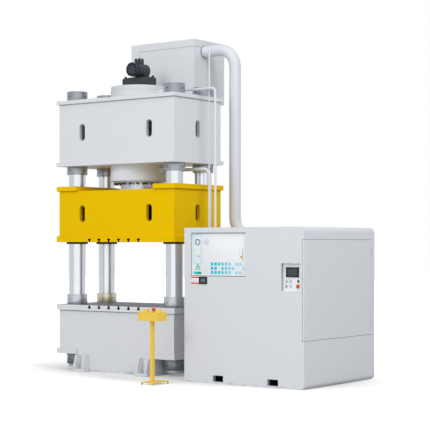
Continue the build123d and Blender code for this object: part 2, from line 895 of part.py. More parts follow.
def button_place(column_index, row_index):
    x = cabinet_left + control_left + button_first_x + column_index * button_pitch_x
    z = control_bottom + control_height - button_upper_drop - row_index * button_pitch_z
    return x, z


push_button_places = {
    "button_left": (0, 0),
    "button_right": (1, 0),
    "button_green": (0, 1),
    "button_lower": (1, 1),
}
knob_place = button_place(3, 0)
stop_x, stop_z = button_place(3, 1)
stop_x -= stop_shift


def control_tray():
    """Recessed control panel with the holes for its buttons' stems."""
    body = tray(control_left, control_width, control_bottom, control_height, control_depth)
    y0, y1 = control_floor - 1, control_floor + cabinet_sheet + 1
    stems = [(*button_place(*place), button_stem) for place in push_button_places.values()]
    for x, z, stem in stems + [(stop_x, stop_z, stop_stem)]:
        half = stem / 2 + play
        body -= block(x - half, x + half, y0, y1, z - half, z + half)
    return body - rod_y(knob_place[0], knob_place[1], y0, y1, knob_shaft / 2 + play)


def screen():
    x0 = cabinet_left + control_left + screen_inset
    z1 = control_bottom + control_height - screen_drop
    y0 = control_floor - screen_thickness
    return block(x0, x0 + screen_width, y0, control_floor, z1 - screen_height, z1)


def head_on_stem(x, z, front, back, radius, stem):
    """A round head in front of the panel, on a square stem that slides through it."""
    half = stem / 2
    shaft = block(x - half, x + half, back, back + stem_length, z - half, z + half)
    return rod_y(x, z, front, back, radius) + shaft


def push_button(place):
    x, z = button_place(*place)
    back = control_floor - button_travel - play
    return head_on_stem(x, z, control_floor - button_proud, back, button_diameter / 2, button_stem)


def selector():
    """Turning knob: a bar handle on a round shaft."""
    x, z = knob_place
    face = SlotOverall(knob_length, knob_width, rotation=90)
    front = control_floor - play
    bar = front_to_back(Pos(x, z) * face, front - knob_depth, front)
    return bar + rod_y(x, z, front - 1, front + stem_length / 2, knob_shaft / 2)


def panel_stop():
    back = control_floor - stop_travel - play
    return head_on_stem(stop_x, stop_z, back - stop_head_length, back, stop_head_diameter / 2, stop_stem)


def hinge_levels():
    return [door_bottom + hinge_inset, door_top - hinge_inset]


def hinge_axis():
    return cabinet_right + hinge_radius + hinge_stand_off, door_rear + door_gap / 2


def hinge_half_leaf(z0, z1, side):
    """Knuckle with its leaf on the outer sheet; side is -1 towards the door and 1 towards the cabinet."""
    x, y = hinge_axis()
    start = y + side * (door_gap / 2 + hinge_leaf_thickness)
    end = y + side * hinge_leaf
    near, far = sorted((start, end))
    leaf = block(cabinet_right, cabinet_right + hinge_leaf_thickness, near, far, z0, z1)
    bridge_near, bridge_far = sorted((y, start))
    bridge = block(x - hinge_radius + 1, x, bridge_near, bridge_far, z0, z1)
    return post(x, y, z0, z1, hinge_radius) + leaf + bridge


def hinge_pins():
    """Lower halves of the two lift-off hinges, each with its pin."""
    pieces = []
    x, y = hinge_axis()
    for level in hinge_levels():
        half = hinge_half_leaf(level - hinge_half, level - hinge_play / 2, 1)
        pieces.append(half + post(x, y, level - hinge_half, level + hinge_half * 0.8, hinge_pin_radius))
    return pieces


def cabinet_door():
    """Folded side door: a tray with returns, two ribs and the upper hinge halves."""
    x0, x1 = cabinet_right - door_wrap, cabinet_right
    door = block(x0, x1, cabinet_front, door_rear, door_bottom, door_top)
    sheet, rear = door_sheet, door_rear - door_sheet
    low, high = door_bottom + sheet, door_top - sheet
    door -= block(x0 - 1, x1 - sheet, cabinet_front + sheet, rear, low, high)
    half_rib = door_rib_width / 2
    for share in (1 / 3, 2 / 3):
        y = cabinet_front + share * (door_rear - cabinet_front)
        rib = block(x0 + sheet, x1 - sheet, y - half_rib, y + half_rib, low, high)
        door += rib - block(x0 + 2 * sheet, x1, y - half_rib + sheet, y + half_rib - sheet, door_bottom, door_top)
    x, y = hinge_axis()
    bore = hinge_pin_radius + hinge_pin_clearance
    for level in hinge_levels():
        half = hinge_half_leaf(level + hinge_play / 2, level + hinge_half, -1)
        door += half - post(x, y, level - 1, level + hinge_half * 0.8 + 1, bore)
    return door


def power_tank():
    """Oil reservoir of the power pack on the cabinet's floor."""
    x0, y1 = cabinet_left + pack_left, cabinet_rear - pack_rear
    x1, y0 = x0 + pack_width, y1 - pack_depth
    z0, z1 = cabinet_floor_height, cabinet_floor_height + pack_height
    sheet = pack_sheet
    inside = block(x0 + sheet, x1 - sheet, y0 + sheet, y1 - sheet, z0 + sheet, z1 - sheet)
    return block(x0, x1, y0, y1, z0, z1) - inside


def power_motor():
    """Electric motor on its feet, with the pump on its front end."""
    x, z = cabinet_right - motor_right_margin, cabinet_floor_height + motor_axis_height
    middle = (cabinet_front + cabinet_rear) / 2
    y0, y1 = middle - motor_length / 4, middle + 3 * motor_length / 4
    motor = rod_y(x, z, y0, y1, motor_diameter / 2)
    half, foot, floor = motor_foot_width / 2, motor_foot_thickness, cabinet_floor_height
    stand = block(x - half / 2, x + half / 2, y0 + foot, y1 - foot, floor, z)
    stand += block(x - half, x + half, y0, y1, floor, floor + foot)
    pump = rod_y(x, z, y0 - pump_length, y0, pump_diameter / 2)
    return motor + stand + pump


def power_manifold():
    """Valve manifold on top of the power pack's reservoir."""
    x0 = cabinet_left + pack_left + (pack_width - manifold_width) / 2
    y0 = cabinet_rear - pack_rear - pack_depth + pack_rear
    z0 = cabinet_floor_height + pack_height
    return block(x0, x0 + manifold_width, y0, y0 + manifold_depth, z0, z0 + manifold_height)


def pedestal_stand():
    """Square post on a base plate with four feet."""
    half_x, half_y = pedestal_base_width / 2, pedestal_base_depth / 2
    low, high = pedestal_foot_height, pedestal_foot_height + pedestal_base_thickness
    x, y, size = pedestal_x, pedestal_y, pedestal_foot_size
    base_x = x + pedestal_base_shift
    stand = block(base_x - half_x, base_x + half_x, y - half_y, y + half_y, low, high)
    for sx in (-1, 1):
        for sy in (-1, 1):
            cx, cy = base_x + sx * (half_x - size / 2), y + sy * (half_y - size / 2)
            stand += block(cx - size / 2, cx + size / 2, cy - size / 2, cy + size / 2, 0, low)
    half, inner = pedestal_post / 2, pedestal_post / 2 - pedestal_post_wall
    tube = block(x - half, x + half, y - half, y + half, high, pedestal_box_bottom)
    return stand + tube - block(x - inner, x + inner, y - inner, y + inner, high, pedestal_box_bottom + 1)


def guard_centres():
    return [pedestal_x - guard_spacing / 2, pedestal_x + guard_spacing / 2]


def pedestal_stop_place():
    return pedestal_x, pedestal_y + pedestal_stop_setback


def pedestal_box():
    """Control box with the openings for its two palm buttons and its emergency stop."""
    half_x, half_y = pedestal_box_width / 2, pedestal_box_depth / 2
    x, y, sheet = pedestal_x, pedestal_y, pedestal_sheet
    low, high = pedestal_box_bottom, pedestal_height
    body = block(x - half_x, x + half_x, y - half_y, y + half_y, low, high)
    half_x, half_y = half_x - sheet, half_y - sheet
    body -= block(x - half_x, x + half_x, y - half_y, y + half_y, low + sheet, high - sheet)
    places = [(cx, y, palm_stem) for cx in guard_centres()] + [(*pedestal_stop_place(), stop_stem)]
    for cx, cy, stem in places:
        half = stem / 2 + play
        body -= block(cx - half, cx + half, cy - half, cy + half, high - sheet - 1, high + 1)
    return body


def pedestal_guards():
    """Guard rings round the palm buttons, so that only a palm pressed in works them."""
    low, top = pedestal_height, pedestal_height + guard_height
    outer, inner = guard_diameter / 2, guard_diameter / 2 - guard_wall
    pieces = []
    for cx in guard_centres():
        pieces.append(post(cx, pedestal_y, low, top, outer) - post(cx, pedestal_y, low - 1, top + 1, inner))
    return pieces


def palm_button(cx):
    """Palm button: a broad round head on a square stem inside its guard."""
    seat = pedestal_height + palm_travel + play
    y, half = pedestal_y, palm_stem / 2
    head = post(cx, y, seat, seat + palm_thickness, palm_diameter / 2)
    return head + block(cx - half, cx + half, y - half, y + half, seat - palm_stem_length, seat)


def pedestal_stop():
    """Emergency stop of the pedestal: a bevelled mushroom head on a square stem."""
    x, y = pedestal_stop_place()
    seat = pedestal_height + stop_travel + play
    rim, under = pedestal_stop_diameter / 2, seat + pedestal_stop_neck
    top, bevel = under + pedestal_stop_height, pedestal_stop_bevel
    neck = stop_stem / sqrt(2)
    head = turned([
        (0, seat), (neck, seat), (neck, under), (rim, under), (rim, top - bevel), (rim - bevel, top),
        (0, top),
    ], x, y)
    half = stop_stem / 2
    return head + block(x - half, x + half, y - half, y + half, seat - palm_stem_length, seat)


def write(name, pieces):
    """Write one sub-part; a group of separate pieces goes out as one compound."""
    shape = Compound(children=list(pieces)) if isinstance(pieces, list) else pieces
    shape.label = name
    export_step(shape, "parts/" + name + ".step")


parts = {
    "crown": crown,
    "slide": slide,
    "slide_end_plates": slide_end_plates,
    "bed": bed,
    "bed_feet": bed_feet,
    "bolster": bolster,
    "crown_nuts": crown_nuts,
    "bed_nuts": bed_nuts,
    "guide_bushes": guide_bushes,
    "cylinder": cylinder,
    "cylinder_cap": cylinder_cap,
    "gland": gland,
    "ram": ram,
    "valve_block": valve_block,
    "valve_body": valve_body,
    "valve_pilot": valve_pilot,
    "tank": tank,
    "tank_brackets": tank_brackets,
    "duct": duct,
    "pipe_head": pipe_head,
    "pipe_return": pipe_return,
    "pipe_vent": pipe_vent,
    "pipe_blocks": pipe_blocks,
    "cabinet_shell": cabinet_shell,
    "cabinet_front": cabinet_front_plate,
    "cabinet_back": cabinet_back_plate,
    "cabinet_base": cabinet_base,
    "info_panel": info_panel,
    "display": display,
    "control_tray": control_tray,
    "screen": screen,
    "selector": selector,
    "panel_stop": panel_stop,
    "hinge_pins": hinge_pins,
    "cabinet_door": cabinet_door,
    "power_tank": power_tank,
    "power_motor": power_motor,
    "power_manifold": power_manifold,
    "pedestal_stand": pedestal_stand,
    "pedestal_box": pedestal_box,
    "pedestal_guards": pedestal_guards,
    "pedestal_stop": pedestal_stop,
}
for name, make in parts.items():
    write(name, make())

column_names = ["column_rear_left", "column_front_left", "column_front_right", "column_rear_right"]
for name, (x, y) in zip(column_names, [column_places[i] for i in (1, 0, 2, 3)]):
    write(name, column(x, y))

for name, place in push_button_places.items():
    write(name, push_button(place))

for name, cx in zip(("palm_left", "palm_right"), guard_centres()):
    write(name, palm_button(cx))
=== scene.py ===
import math
import bmesh
import bpy
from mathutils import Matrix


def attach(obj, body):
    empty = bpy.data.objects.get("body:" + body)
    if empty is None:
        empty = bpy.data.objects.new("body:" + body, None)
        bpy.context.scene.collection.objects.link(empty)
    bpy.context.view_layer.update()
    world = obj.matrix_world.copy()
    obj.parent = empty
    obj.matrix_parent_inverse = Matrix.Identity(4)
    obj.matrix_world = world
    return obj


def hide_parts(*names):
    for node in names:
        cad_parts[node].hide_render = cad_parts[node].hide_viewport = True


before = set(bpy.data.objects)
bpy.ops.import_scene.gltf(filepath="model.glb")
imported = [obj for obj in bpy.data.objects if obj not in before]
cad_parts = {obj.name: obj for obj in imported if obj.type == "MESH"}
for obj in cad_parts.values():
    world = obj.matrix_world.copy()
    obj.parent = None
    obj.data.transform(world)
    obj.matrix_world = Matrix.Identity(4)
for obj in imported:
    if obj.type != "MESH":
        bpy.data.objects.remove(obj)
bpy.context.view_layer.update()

print("frame loaded with", len(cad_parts), "nodes")


# small helpers for colours and node trees

def screenColour(red, green, blue):  # 0-255 as it looks on a screen
    steps = [value / 255 for value in (red, green, blue)]
    return [s / 12.92 if s <= 0.04045 else ((s + 0.055) / 1.055) ** 2.4 for s in steps] + [1.0]


def brighter(colour, share):  # the same hue, lighter or darker
    return [min(1.0, part * share) for part in screenColour(*colour)[:3]] + [1.0]


def addNode(tree, kind, settings=None, **sockets):  # a socket goes by its name, or as i1 for number 1
    made = tree.nodes.new("ShaderNode" + kind)
    for key, value in (settings or {}).items():
        setattr(made, key, value)
    for key, value in sockets.items():
        made.inputs[int(key[1:]) if key[0] == "i" and key[1:].isdigit() else key].default_value = value
    return made


def wire(tree, *links):  # each link: a node and its output, a node and its input
    for source, out, target, into in links:
        tree.links.new(source.outputs[out], target.inputs[into])


def mathNode(tree, operation, **sockets):
    return addNode(tree, "Math", {"operation": operation}, **sockets)


def vectorNode(tree, operation, **sockets):
    return addNode(tree, "VectorMath", {"operation": operation}, **sockets)


def blendNode(tree, **sockets):  # two colours mixed: input 0 is the share, 6 and 7 the colours, output 2
    return addNode(tree, "Mix", {"data_type": "RGBA"}, **sockets)


def noiseNode(tree, stretch=None, **sockets):  # noise over the piece's own place, through a Mapping if given
    made, place = addNode(tree, "TexNoise", **sockets), addNode(tree, "TexCoord")
    if stretch:
        wire(tree, (place, "Object", stretch, "Vector"), (stretch, 0, made, "Vector"))
    else:
        wire(tree, (place, "Object", made, "Vector"))
    return made


def newGroup(name, takes, gives):
    group = bpy.data.node_groups.new(name, "ShaderNodeTree")
    for label, kind, value in takes:
        group.interface.new_socket(name=label, in_out="INPUT", socket_type="NodeSocket" + kind).default_value = value
    for label, kind in gives:
        group.interface.new_socket(name=label, in_out="OUTPUT", socket_type="NodeSocket" + kind)
    return group, group.nodes.new("NodeGroupInput"), group.nodes.new("NodeGroupOutput")


def groupNode(tree, key, **values):
    made = tree.nodes.new("ShaderNodeGroup")
    made.node_tree = groups[key]
    for label, value in values.items():
        made.inputs[label.replace("_", " ")].default_value = value
    return made


# helpers for modelling

def clearPick():
    if bpy.context.mode != "OBJECT":
        bpy.ops.object.mode_set(mode="OBJECT")
    bpy.ops.object.select_all(action="DESELECT")


def pickOnly(piece):
    clearPick()
    piece.select_set(True)
    bpy.context.view_layer.objects.active = piece


def leaveEdit():
    bpy.ops.object.mode_set(mode="OBJECT")


def settle(name):  # name the new primitive and put its place into its mesh
    piece = bpy.context.object
    piece.name = piece.data.name = name
    bpy.ops.object.transform_apply(location=True, rotation=True, scale=True)
    return piece


def editPick(piece, kind, wanted=lambda c, n: True):  # edit mode, with the faces or edges that pass selected
    pickOnly(piece)
    bpy.ops.object.mode_set(mode="EDIT")
    bpy.ops.mesh.select_mode(type=kind)
    bpy.ops.mesh.select_all(action="DESELECT")
    shape = bmesh.from_edit_mesh(piece.data)
    shape.normal_update()
    if kind == "FACE":
        for face in shape.faces:
            face.select_set(wanted(face.calc_center_median(), face.normal))
    else:
        for edge in shape.edges:
            a, b = edge.verts[0].co, edge.verts[1].co
            edge.select_set(wanted((a + b) / 2, b - a))
    bmesh.update_edit_mesh(piece.data)


def closeUp(piece):  # merge doubles, then turn every face outwards
    editPick(piece, "FACE")
    bpy.ops.mesh.remove_doubles(threshold=0.00002)
    bpy.ops.mesh.select_all(action="SELECT")
    bpy.ops.mesh.normals_make_consistent(inside=False)
    leaveEdit()


def startFace(name, centre, size, turn=(math.pi / 2, 0, 0)):  # one face, upright unless turned, in edit mode
    clearPick()
    bpy.ops.mesh.primitive_plane_add(size=1, location=centre, rotation=turn)
    bpy.context.object.scale = (*size, 1)
    piece = settle(name)
    editPick(piece, "FACE")
    return piece


turnFor = {"Z": (0, 0, 0), "Y": (math.pi / 2, 0, 0), "X": (0, math.pi / 2, 0)}
axisIndex = {"X": 0, "Y": 1, "Z": 2}


def addRound(name, radius, start, end, centre, along="Z", sides=48, soften=0.0, steps=2):
    # a bar with softened rims; centre is its place across the axis
    clearPick()
    i, place = axisIndex[along], list(centre)
    place.insert(i, (start + end) / 2)
    bpy.ops.mesh.primitive_cylinder_add(vertices=sides, radius=radius, depth=abs(end - start), location=place,
                                        rotation=turnFor[along])
    piece = settle(name)
    if soften:
        editPick(piece, "EDGE", lambda c, d: abs(d[i]) < 1e-6)
        bpy.ops.mesh.bevel(offset=soften, segments=steps)
        leaveEdit()
    return piece


def addRing(name, inner, outer, low, high, centre, along="Z", chamfer=0.0, steps=64):
    # a turned ring: a small face with cut corners, spun right round
    piece = startFace(name, ((inner + outer) / 2, 0, (low + high) / 2), (outer - inner, high - low))
    if chamfer:
        bpy.ops.mesh.bevel(affect="VERTICES", offset=chamfer, segments=2)
    bpy.ops.mesh.select_all(action="SELECT")
    bpy.ops.mesh.delete(type="ONLY_FACE")
    bpy.ops.mesh.select_all(action="SELECT")
    bpy.ops.mesh.spin(steps=steps, angle=math.tau, center=(0, 0, 0), axis=(0, 0, 1))
    closeUp(piece)
    place = list(centre)
    place.insert(axisIndex[along], 0)
    piece.location = place
    piece.rotation_euler = (-math.pi / 2, 0, 0) if along == "Y" else turnFor[along]
    return settle(name)


def addPlate(name, span, levels, front, thick, corner=0.0, rim=0.0, soften=0.0, turns=6):
    # an upright plate that faces the front; with a rim it is an open frame
    (x0, x1), (z0, z1) = span, levels
    piece = startFace(name, ((x0 + x1) / 2, front, (z0 + z1) / 2), (x1 - x0, z1 - z0))
    if corner:
        bpy.ops.mesh.bevel(affect="VERTICES", offset=corner, segments=turns)
    if rim:
        bpy.ops.mesh.select_mode(type="FACE")
        bpy.ops.mesh.select_all(action="SELECT")
        bpy.ops.mesh.inset(thickness=rim)
        bpy.ops.mesh.delete(type="FACE")
    bpy.ops.mesh.select_all(action="SELECT")
    bpy.ops.mesh.extrude_region_move(TRANSFORM_OT_translate={"value": (0, thick, 0)})
    closeUp(piece)
    if soften:
        editPick(piece, "EDGE", lambda c, d: abs(c.y - front) < 1e-6 and abs(d.y) < 1e-6)
        bpy.ops.mesh.bevel(offset=soften, segments=2)
        leaveEdit()
    return piece


def addBlock(name, low, high, soften):
    clearPick()
    bpy.ops.mesh.primitive_cube_add(size=1, location=[(a + b) / 2 for a, b in zip(low, high)])
    bpy.context.object.scale = [b - a for a, b in zip(low, high)]
    piece = settle(name)
    editPick(piece, "EDGE")
    bpy.ops.mesh.bevel(offset=soften, segments=2)
    leaveEdit()
    return piece


def addTube(name, radius, route, bend, roundness=10, steps=12):
    # one point drawn out along the route, its corners rounded, then given a round section
    piece = startFace(name, route[0], (0.01, 0.01), turn=(0, 0, 0))
    bpy.ops.mesh.select_mode(type="VERT")
    bpy.ops.mesh.select_all(action="SELECT")
    bpy.ops.mesh.merge(type="CENTER")
    for here, there in zip(route, route[1:]):
        move = [b - a for a, b in zip(here, there)]
        bpy.ops.mesh.extrude_region_move(TRANSFORM_OT_translate={"value": move})
    shape = bmesh.from_edit_mesh(piece.data)
    for vertex in shape.verts:
        vertex.select_set(len(vertex.link_edges) == 2)
    bmesh.update_edit_mesh(piece.data)
    bpy.ops.mesh.bevel(affect="VERTICES", offset=bend, segments=steps, profile=0.5, clamp_overlap=False)
    leaveEdit()
    return roundOut(radius, roundness)


def roundOut(radius, roundness):  # turn the active line into a closed round bar along itself
    bpy.ops.object.convert(target="CURVE")
    curve = bpy.context.object.data
    curve.bevel_depth, curve.bevel_resolution, curve.use_fill_caps = radius, roundness, True
    bpy.ops.object.convert(target="MESH")
    closeUp(bpy.context.object)
    return bpy.context.object


def drawIn(piece, level, centre, reach, share):  # draw the outer rim at one level in
    x, y = centre
    editPick(piece, "EDGE", lambda c, d: abs(c.z - level) < 1e-4 and math.hypot(c.x - x, c.y - y) > reach)
    bpy.ops.transform.resize(value=(share, share, 1), center_override=(x, y, level))
    leaveEdit()
    return piece


def joinUp(pieces):
    clearPick()
    for piece in pieces:
        piece.select_set(True)
    bpy.context.view_layer.objects.active = pieces[0]
    bpy.ops.object.transform_apply(location=True, rotation=True, scale=True)
    if len(pieces) > 1:
        bpy.ops.object.join()
    return pieces[0]


def copyOf(piece):  # a copy with a mesh of its own, left selected
    pickOnly(piece)
    bpy.ops.object.duplicate(linked=False)
    return bpy.context.object


def repeatAt(piece, places, upright=False):  # made at the first place, copied to the others
    made, first = [piece], places[0]
    for across, further in places[1:]:
        made.append(copyOf(piece))
        shift = (across - first[0], further - first[1])
        bpy.ops.transform.translate(value=(shift[0], 0, shift[1]) if upright else (*shift, 0))
    return joinUp(made)


def repeatRound(piece, count, centre, along="Z"):  # copies evenly round an axis
    made = [piece]
    for index in range(1, count):
        made.append(copyOf(piece))
        bpy.ops.transform.rotate(value=math.tau * index / count, orient_axis=along, center_override=centre)
    return joinUp(made)


def cutAway(piece, cutter):  # boolean cut, applied
    pickOnly(piece)
    cut = piece.modifiers.new("cut", "BOOLEAN")
    cut.operation, cut.solver, cut.object = "DIFFERENCE", "EXACT", cutter
    bpy.ops.object.modifier_apply(modifier=cut.name)
    bpy.data.objects.remove(cutter)
    return piece


def hangOn(piece, finish, body="frame", angle=32):  # smooth it, paint it, let it ride
    pickOnly(piece)
    bpy.ops.object.shade_smooth_by_angle(angle=math.radians(angle))
    piece.data.materials.clear()
    piece.data.materials.append(finishes[finish])
    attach(piece, body)


# camera, as fitted to the photograph
viewpoint = {"place": (12.8447, -15.5443, 1.9), "turn": 36.3135, "lens": 111.57, "rise": 0.0688, "sensor": 36}
bpy.ops.object.camera_add(location=viewpoint["place"], rotation=(math.pi / 2, 0, math.radians(viewpoint["turn"])))
camera = bpy.context.object
camera.name = "camera"
camera.data.sensor_width, camera.data.lens = viewpoint["sensor"], viewpoint["lens"]
camera.data.shift_y = viewpoint["rise"]
camera.data.clip_end = 200
bpy.context.scene.camera = camera
bpy.context.scene.view_settings.view_transform = "Standard"

# lamps: one broad soft key in front, a weaker one high on the right
lampPlan = {
    "keyLamp": {"place": (0.5, -18.0, 10.0), "aim": (0.8, 0.0, 2.4), "size": 8.0, "power": 1180},
    "sideLamp": {"place": (9.5, -3.0, 8.5), "aim": (1.8, 0.0, 2.8), "size": 4.0, "power": 350},
}
for lampName, plan in lampPlan.items():
    bpy.ops.object.light_add(type="AREA", location=plan["place"])
    lamp = bpy.context.object
    lamp.name = lampName
    lamp.data.shape, lamp.data.size, lamp.data.energy = "SQUARE", plan["size"], plan["power"]
    lamp.visible_glossy = False
    away = lamp.location - type(lamp.location)(plan["aim"])
    lamp.rotation_euler = away.to_track_quat("Z", "Y").to_euler()


# shader groups that the studio and several finishes share

def studioGroup(sideTone=(0.66, 0.675, 0.71, 1), brightTone=(1, 1, 1, 1), brightSide=(0.62, -0.78, 0.0)):
    # what polished metal mirrors: a bright side in front, soft grey to the left and right
    group, takes, gives = newGroup("studioTone", [("Direction", "Vector", (0, 0, 1))], [("Colour", "Color")])
    straight, facing = vectorNode(group, "NORMALIZE"), vectorNode(group, "DOT_PRODUCT", i1=brightSide)
    band = addNode(group, "MapRange", {"interpolation_type": "SMOOTHSTEP"}, i1=0.55, i2=0.85)
    shade = blendNode(group, i6=sideTone, i7=brightTone)
    wire(group, (takes, "Direction", straight, 0), (straight, 0, facing, 0), (facing, "Value", band, 0),
         (band, 0, shade, 0), (shade, 2, gives, "Colour"))
    return group


def paintGroup():  # sprayed machine paint: broad mottle, drip streaks, orange peel
    group, takes, gives = newGroup(
        "sprayedPaint",
        [("Colour", "Color", (1, 1, 1, 1)), ("Stain", "Color", (0.3, 0.3, 0.3, 1)), ("Mottle", "Float", 0.04),
         ("Streaks", "Float", 0.1), ("Gloss", "Float", 0.4)],
        [("Colour", "Color"), ("Roughness", "Float"), ("Height", "Float")])
    broad = noiseNode(group, Scale=1.1, Detail=5.0, Roughness=0.6)
    fine = noiseNode(group, Scale=26.0, Detail=3.0)
    peel = noiseNode(group, Scale=210.0, Detail=2.0)
    drips = noiseNode(group, addNode(group, "Mapping", Scale=(6.0, 6.0, 0.35)), Scale=2.2, Detail=5.0, Roughness=0.65)
    dripMask = addNode(group, "MapRange", i1=0.56, i2=0.78)
    dripShare = mathNode(group, "MULTIPLY")
    blend = mathNode(group, "MULTIPLY_ADD", i1=0.7)
    centred = mathNode(group, "SUBTRACT", i1=0.85)
    swing = mathNode(group, "MULTIPLY_ADD", i2=1.0)
    tinted = vectorNode(group, "SCALE")
    stained = blendNode(group)
    rough = mathNode(group, "MULTIPLY_ADD", i1=0.12)
    wire(group, (drips, 0, dripMask, 0), (dripMask, 0, dripShare, 0), (takes, "Streaks", dripShare, 1),
         (fine, 0, blend, 0), (broad, 0, blend, 2), (blend, 0, centred, 0), (centred, 0, swing, 0),
         (takes, "Mottle", swing, 1), (takes, "Colour", tinted, 0), (swing, 0, tinted, "Scale"),
         (dripShare, 0, stained, 0), (tinted, 0, stained, 6), (takes, "Stain", stained, 7),
         (stained, 2, gives, "Colour"), (peel, 0, gives, "Height"), (broad, 0, rough, 0),
         (takes, "Gloss", rough, 2), (rough, 0, gives, "Roughness"))
    return group


def edgeGroup():  # where a corner is near, broken up by noise: chips on paint, worn edges with a painted highlight on metal and plastic
    group, takes, gives = newGroup(
        "edgeWearAndHighlight", [("Reach", "Float", 0.004), ("Break Up", "Float", 30.0), ("Amount", "Float", 1.0)],
        [("Mask", "Float"), ("Normal", "Vector")])
    rounded, real = addNode(group, "Bevel", {"samples": 4}), addNode(group, "NewGeometry")
    alike = vectorNode(group, "DOT_PRODUCT")
    corner = addNode(group, "MapRange", i1=0.995, i2=0.86)
    chips = noiseNode(group, Detail=5.0, Roughness=0.7)
    cut = addNode(group, "MapRange", i1=0.42, i2=0.62)
    both = mathNode(group, "MULTIPLY")
    level = addNode(group, "Math", {"operation": "MULTIPLY", "use_clamp": True})
    wire(group, (takes, "Reach", rounded, "Radius"), (rounded, 0, alike, 0), (real, "Normal", alike, 1),
         (alike, "Value", corner, 0), (takes, "Break Up", chips, "Scale"), (chips, 0, cut, 0),
         (corner, 0, both, 0), (cut, 0, both, 1), (both, 0, level, 0), (takes, "Amount", level, 1),
         (level, 0, gives, "Mask"), (rounded, 0, gives, "Normal"))
    return group


def dustGroup():  # dust that lies on top faces, and scuffs near the floor
    group, takes, gives = newGroup(
        "dustAndScuffs", [("Dust", "Float", 0.3), ("Scuff Height", "Float", 0.25)],
        [("Dust", "Float"), ("Scuffs", "Float")])
    place, face = addNode(group, "TexCoord"), addNode(group, "NewGeometry")
    splitFace, splitPlace = addNode(group, "SeparateXYZ"), addNode(group, "SeparateXYZ")
    lying = addNode(group, "MapRange", i1=0.6, i2=0.97)
    cloud = noiseNode(group, Scale=5.0, Detail=6.0, Roughness=0.65)
    patchy = addNode(group, "MapRange", i1=0.35, i2=0.7)
    low = addNode(group, "MapRange", i2=0.0)
    marks = noiseNode(group, Scale=11.0, Detail=6.0, Roughness=0.75)
    sharp = addNode(group, "MapRange", i1=0.5, i2=0.72)
    dust, amount, scuffs = [mathNode(group, "MULTIPLY") for _ in range(3)]
    wire(group, (face, "Normal", splitFace, 0), (splitFace, "Z", lying, 0), (cloud, 0, patchy, 0),
         (lying, 0, dust, 0), (patchy, 0, dust, 1), (dust, 0, amount, 0), (takes, "Dust", amount, 1),
         (amount, 0, gives, "Dust"), (place, "Object", splitPlace, 0), (splitPlace, "Z", low, 0),
         (takes, "Scuff Height", low, 1), (marks, 0, sharp, 0), (low, 0, scuffs, 0), (sharp, 0, scuffs, 1),
         (scuffs, 0, gives, "Scuffs"))
    return group


def grainGroup():  # tool marks: noise drawn out along the way the tool went
    group, takes, gives = newGroup(
        "toolMarks", [("Stretch", "Vector", (1.0, 1.0, 30.0)), ("Scale", "Float", 40.0), ("Roughness", "Float", 0.3)],
        [("Shade", "Float"), ("Roughness", "Float"), ("Height", "Float")])
    stretch = addNode(group, "Mapping")
    lines = noiseNode(group, stretch, Detail=4.0, Roughness=0.7)
    cloud = noiseNode(group, Scale=3.5, Detail=4.0)
    shade = addNode(group, "MapRange", i3=0.86, i4=1.1)
    mixed, rough = mathNode(group, "MULTIPLY_ADD", i1=0.5), mathNode(group, "MULTIPLY_ADD", i1=0.16)
    wire(group, (takes, "Stretch", stretch, "Scale"), (takes, "Scale", lines, "Scale"), (cloud, 0, mixed, 0),
         (lines, 0, mixed, 2), (mixed, 0, shade, 0), (shade, 0, gives, "Shade"), (lines, 0, rough, 0),
         (takes, "Roughness", rough, 2), (rough, 0, gives, "Roughness"), (lines, 0, gives, "Height"))
    return group


def hollowGroup():  # marks what lies inside a box where a tone is laid: painted shade inside a window, slot or recess, painted light, a painted reflection, a seam
    group, takes, gives = newGroup(
        "hollowInside", [("Centre", "Vector", (0, 0, 0)), ("Half", "Vector", (1, 1, 1))], [("Mask", "Float")])
    place, parts = addNode(group, "TexCoord"), addNode(group, "SeparateXYZ")
    offset, size, over = [vectorNode(group, kind) for kind in ("SUBTRACT", "ABSOLUTE", "SUBTRACT")]
    across, most = mathNode(group, "MAXIMUM"), mathNode(group, "MAXIMUM")
    inside = mathNode(group, "LESS_THAN", i1=0.0)
    wire(group, (place, "Object", offset, 0), (takes, "Centre", offset, 1), (offset, 0, size, 0),
         (size, 0, over, 0), (takes, "Half", over, 1), (over, 0, parts, 0), (parts, 0, across, 0),
         (parts, 1, across, 1), (across, 0, most, 0), (parts, 2, most, 1), (most, 0, inside, 0),
         (inside, 0, gives, "Mask"))
    return group


groups = {"studio": studioGroup(), "paint": paintGroup(), "edge": edgeGroup(), "dust": dustGroup(),
          "grain": grainGroup(), "hollow": hollowGroup()}


# world: white to the eye and through glass, the studio's tones in gloss, a soft even light otherwise
def makeWorld(lowLight=(0.2, 0.205, 0.22, 1), highLight=(0.7, 0.72, 0.75, 1), lightFrom=(0.3, -0.4, 0.86)):
    world = bpy.data.worlds.new("studio")
    bpy.context.scene.world = world
    world.use_nodes = True
    tree = world.node_tree
    tree.nodes.clear()
    path, direction = addNode(tree, "LightPath"), addNode(tree, "TexCoord")
    soft, plain, gloss = [addNode(tree, "Background", Color=(1, 1, 1, 1), Strength=1.0) for _ in range(3)]
    facing = vectorNode(tree, "DOT_PRODUCT", i1=lightFrom)
    spread = addNode(tree, "MapRange", i1=-0.6, i2=0.9)
    shade = blendNode(tree, i6=lowLight, i7=highLight)
    mirrored = groupNode(tree, "studio")
    seen = mathNode(tree, "MAXIMUM")
    first, second = addNode(tree, "MixShader"), addNode(tree, "MixShader")
    out = tree.nodes.new("ShaderNodeOutputWorld")
    wire(tree, (direction, "Generated", facing, 0), (facing, "Value", spread, 0), (spread, 0, shade, 0),
         (shade, 2, soft, 0), (direction, "Generated", mirrored, "Direction"), (mirrored, "Colour", gloss, 0),
         (path, "Is Camera Ray", seen, 0), (path, "Is Transmission Ray", seen, 1),
         (path, "Is Glossy Ray", first, 0), (soft, 0, first, 1), (gloss, 0, first, 2),
         (seen, 0, second, 0), (first, 0, second, 1), (plain, 0, second, 2), (second, 0, out, 0))


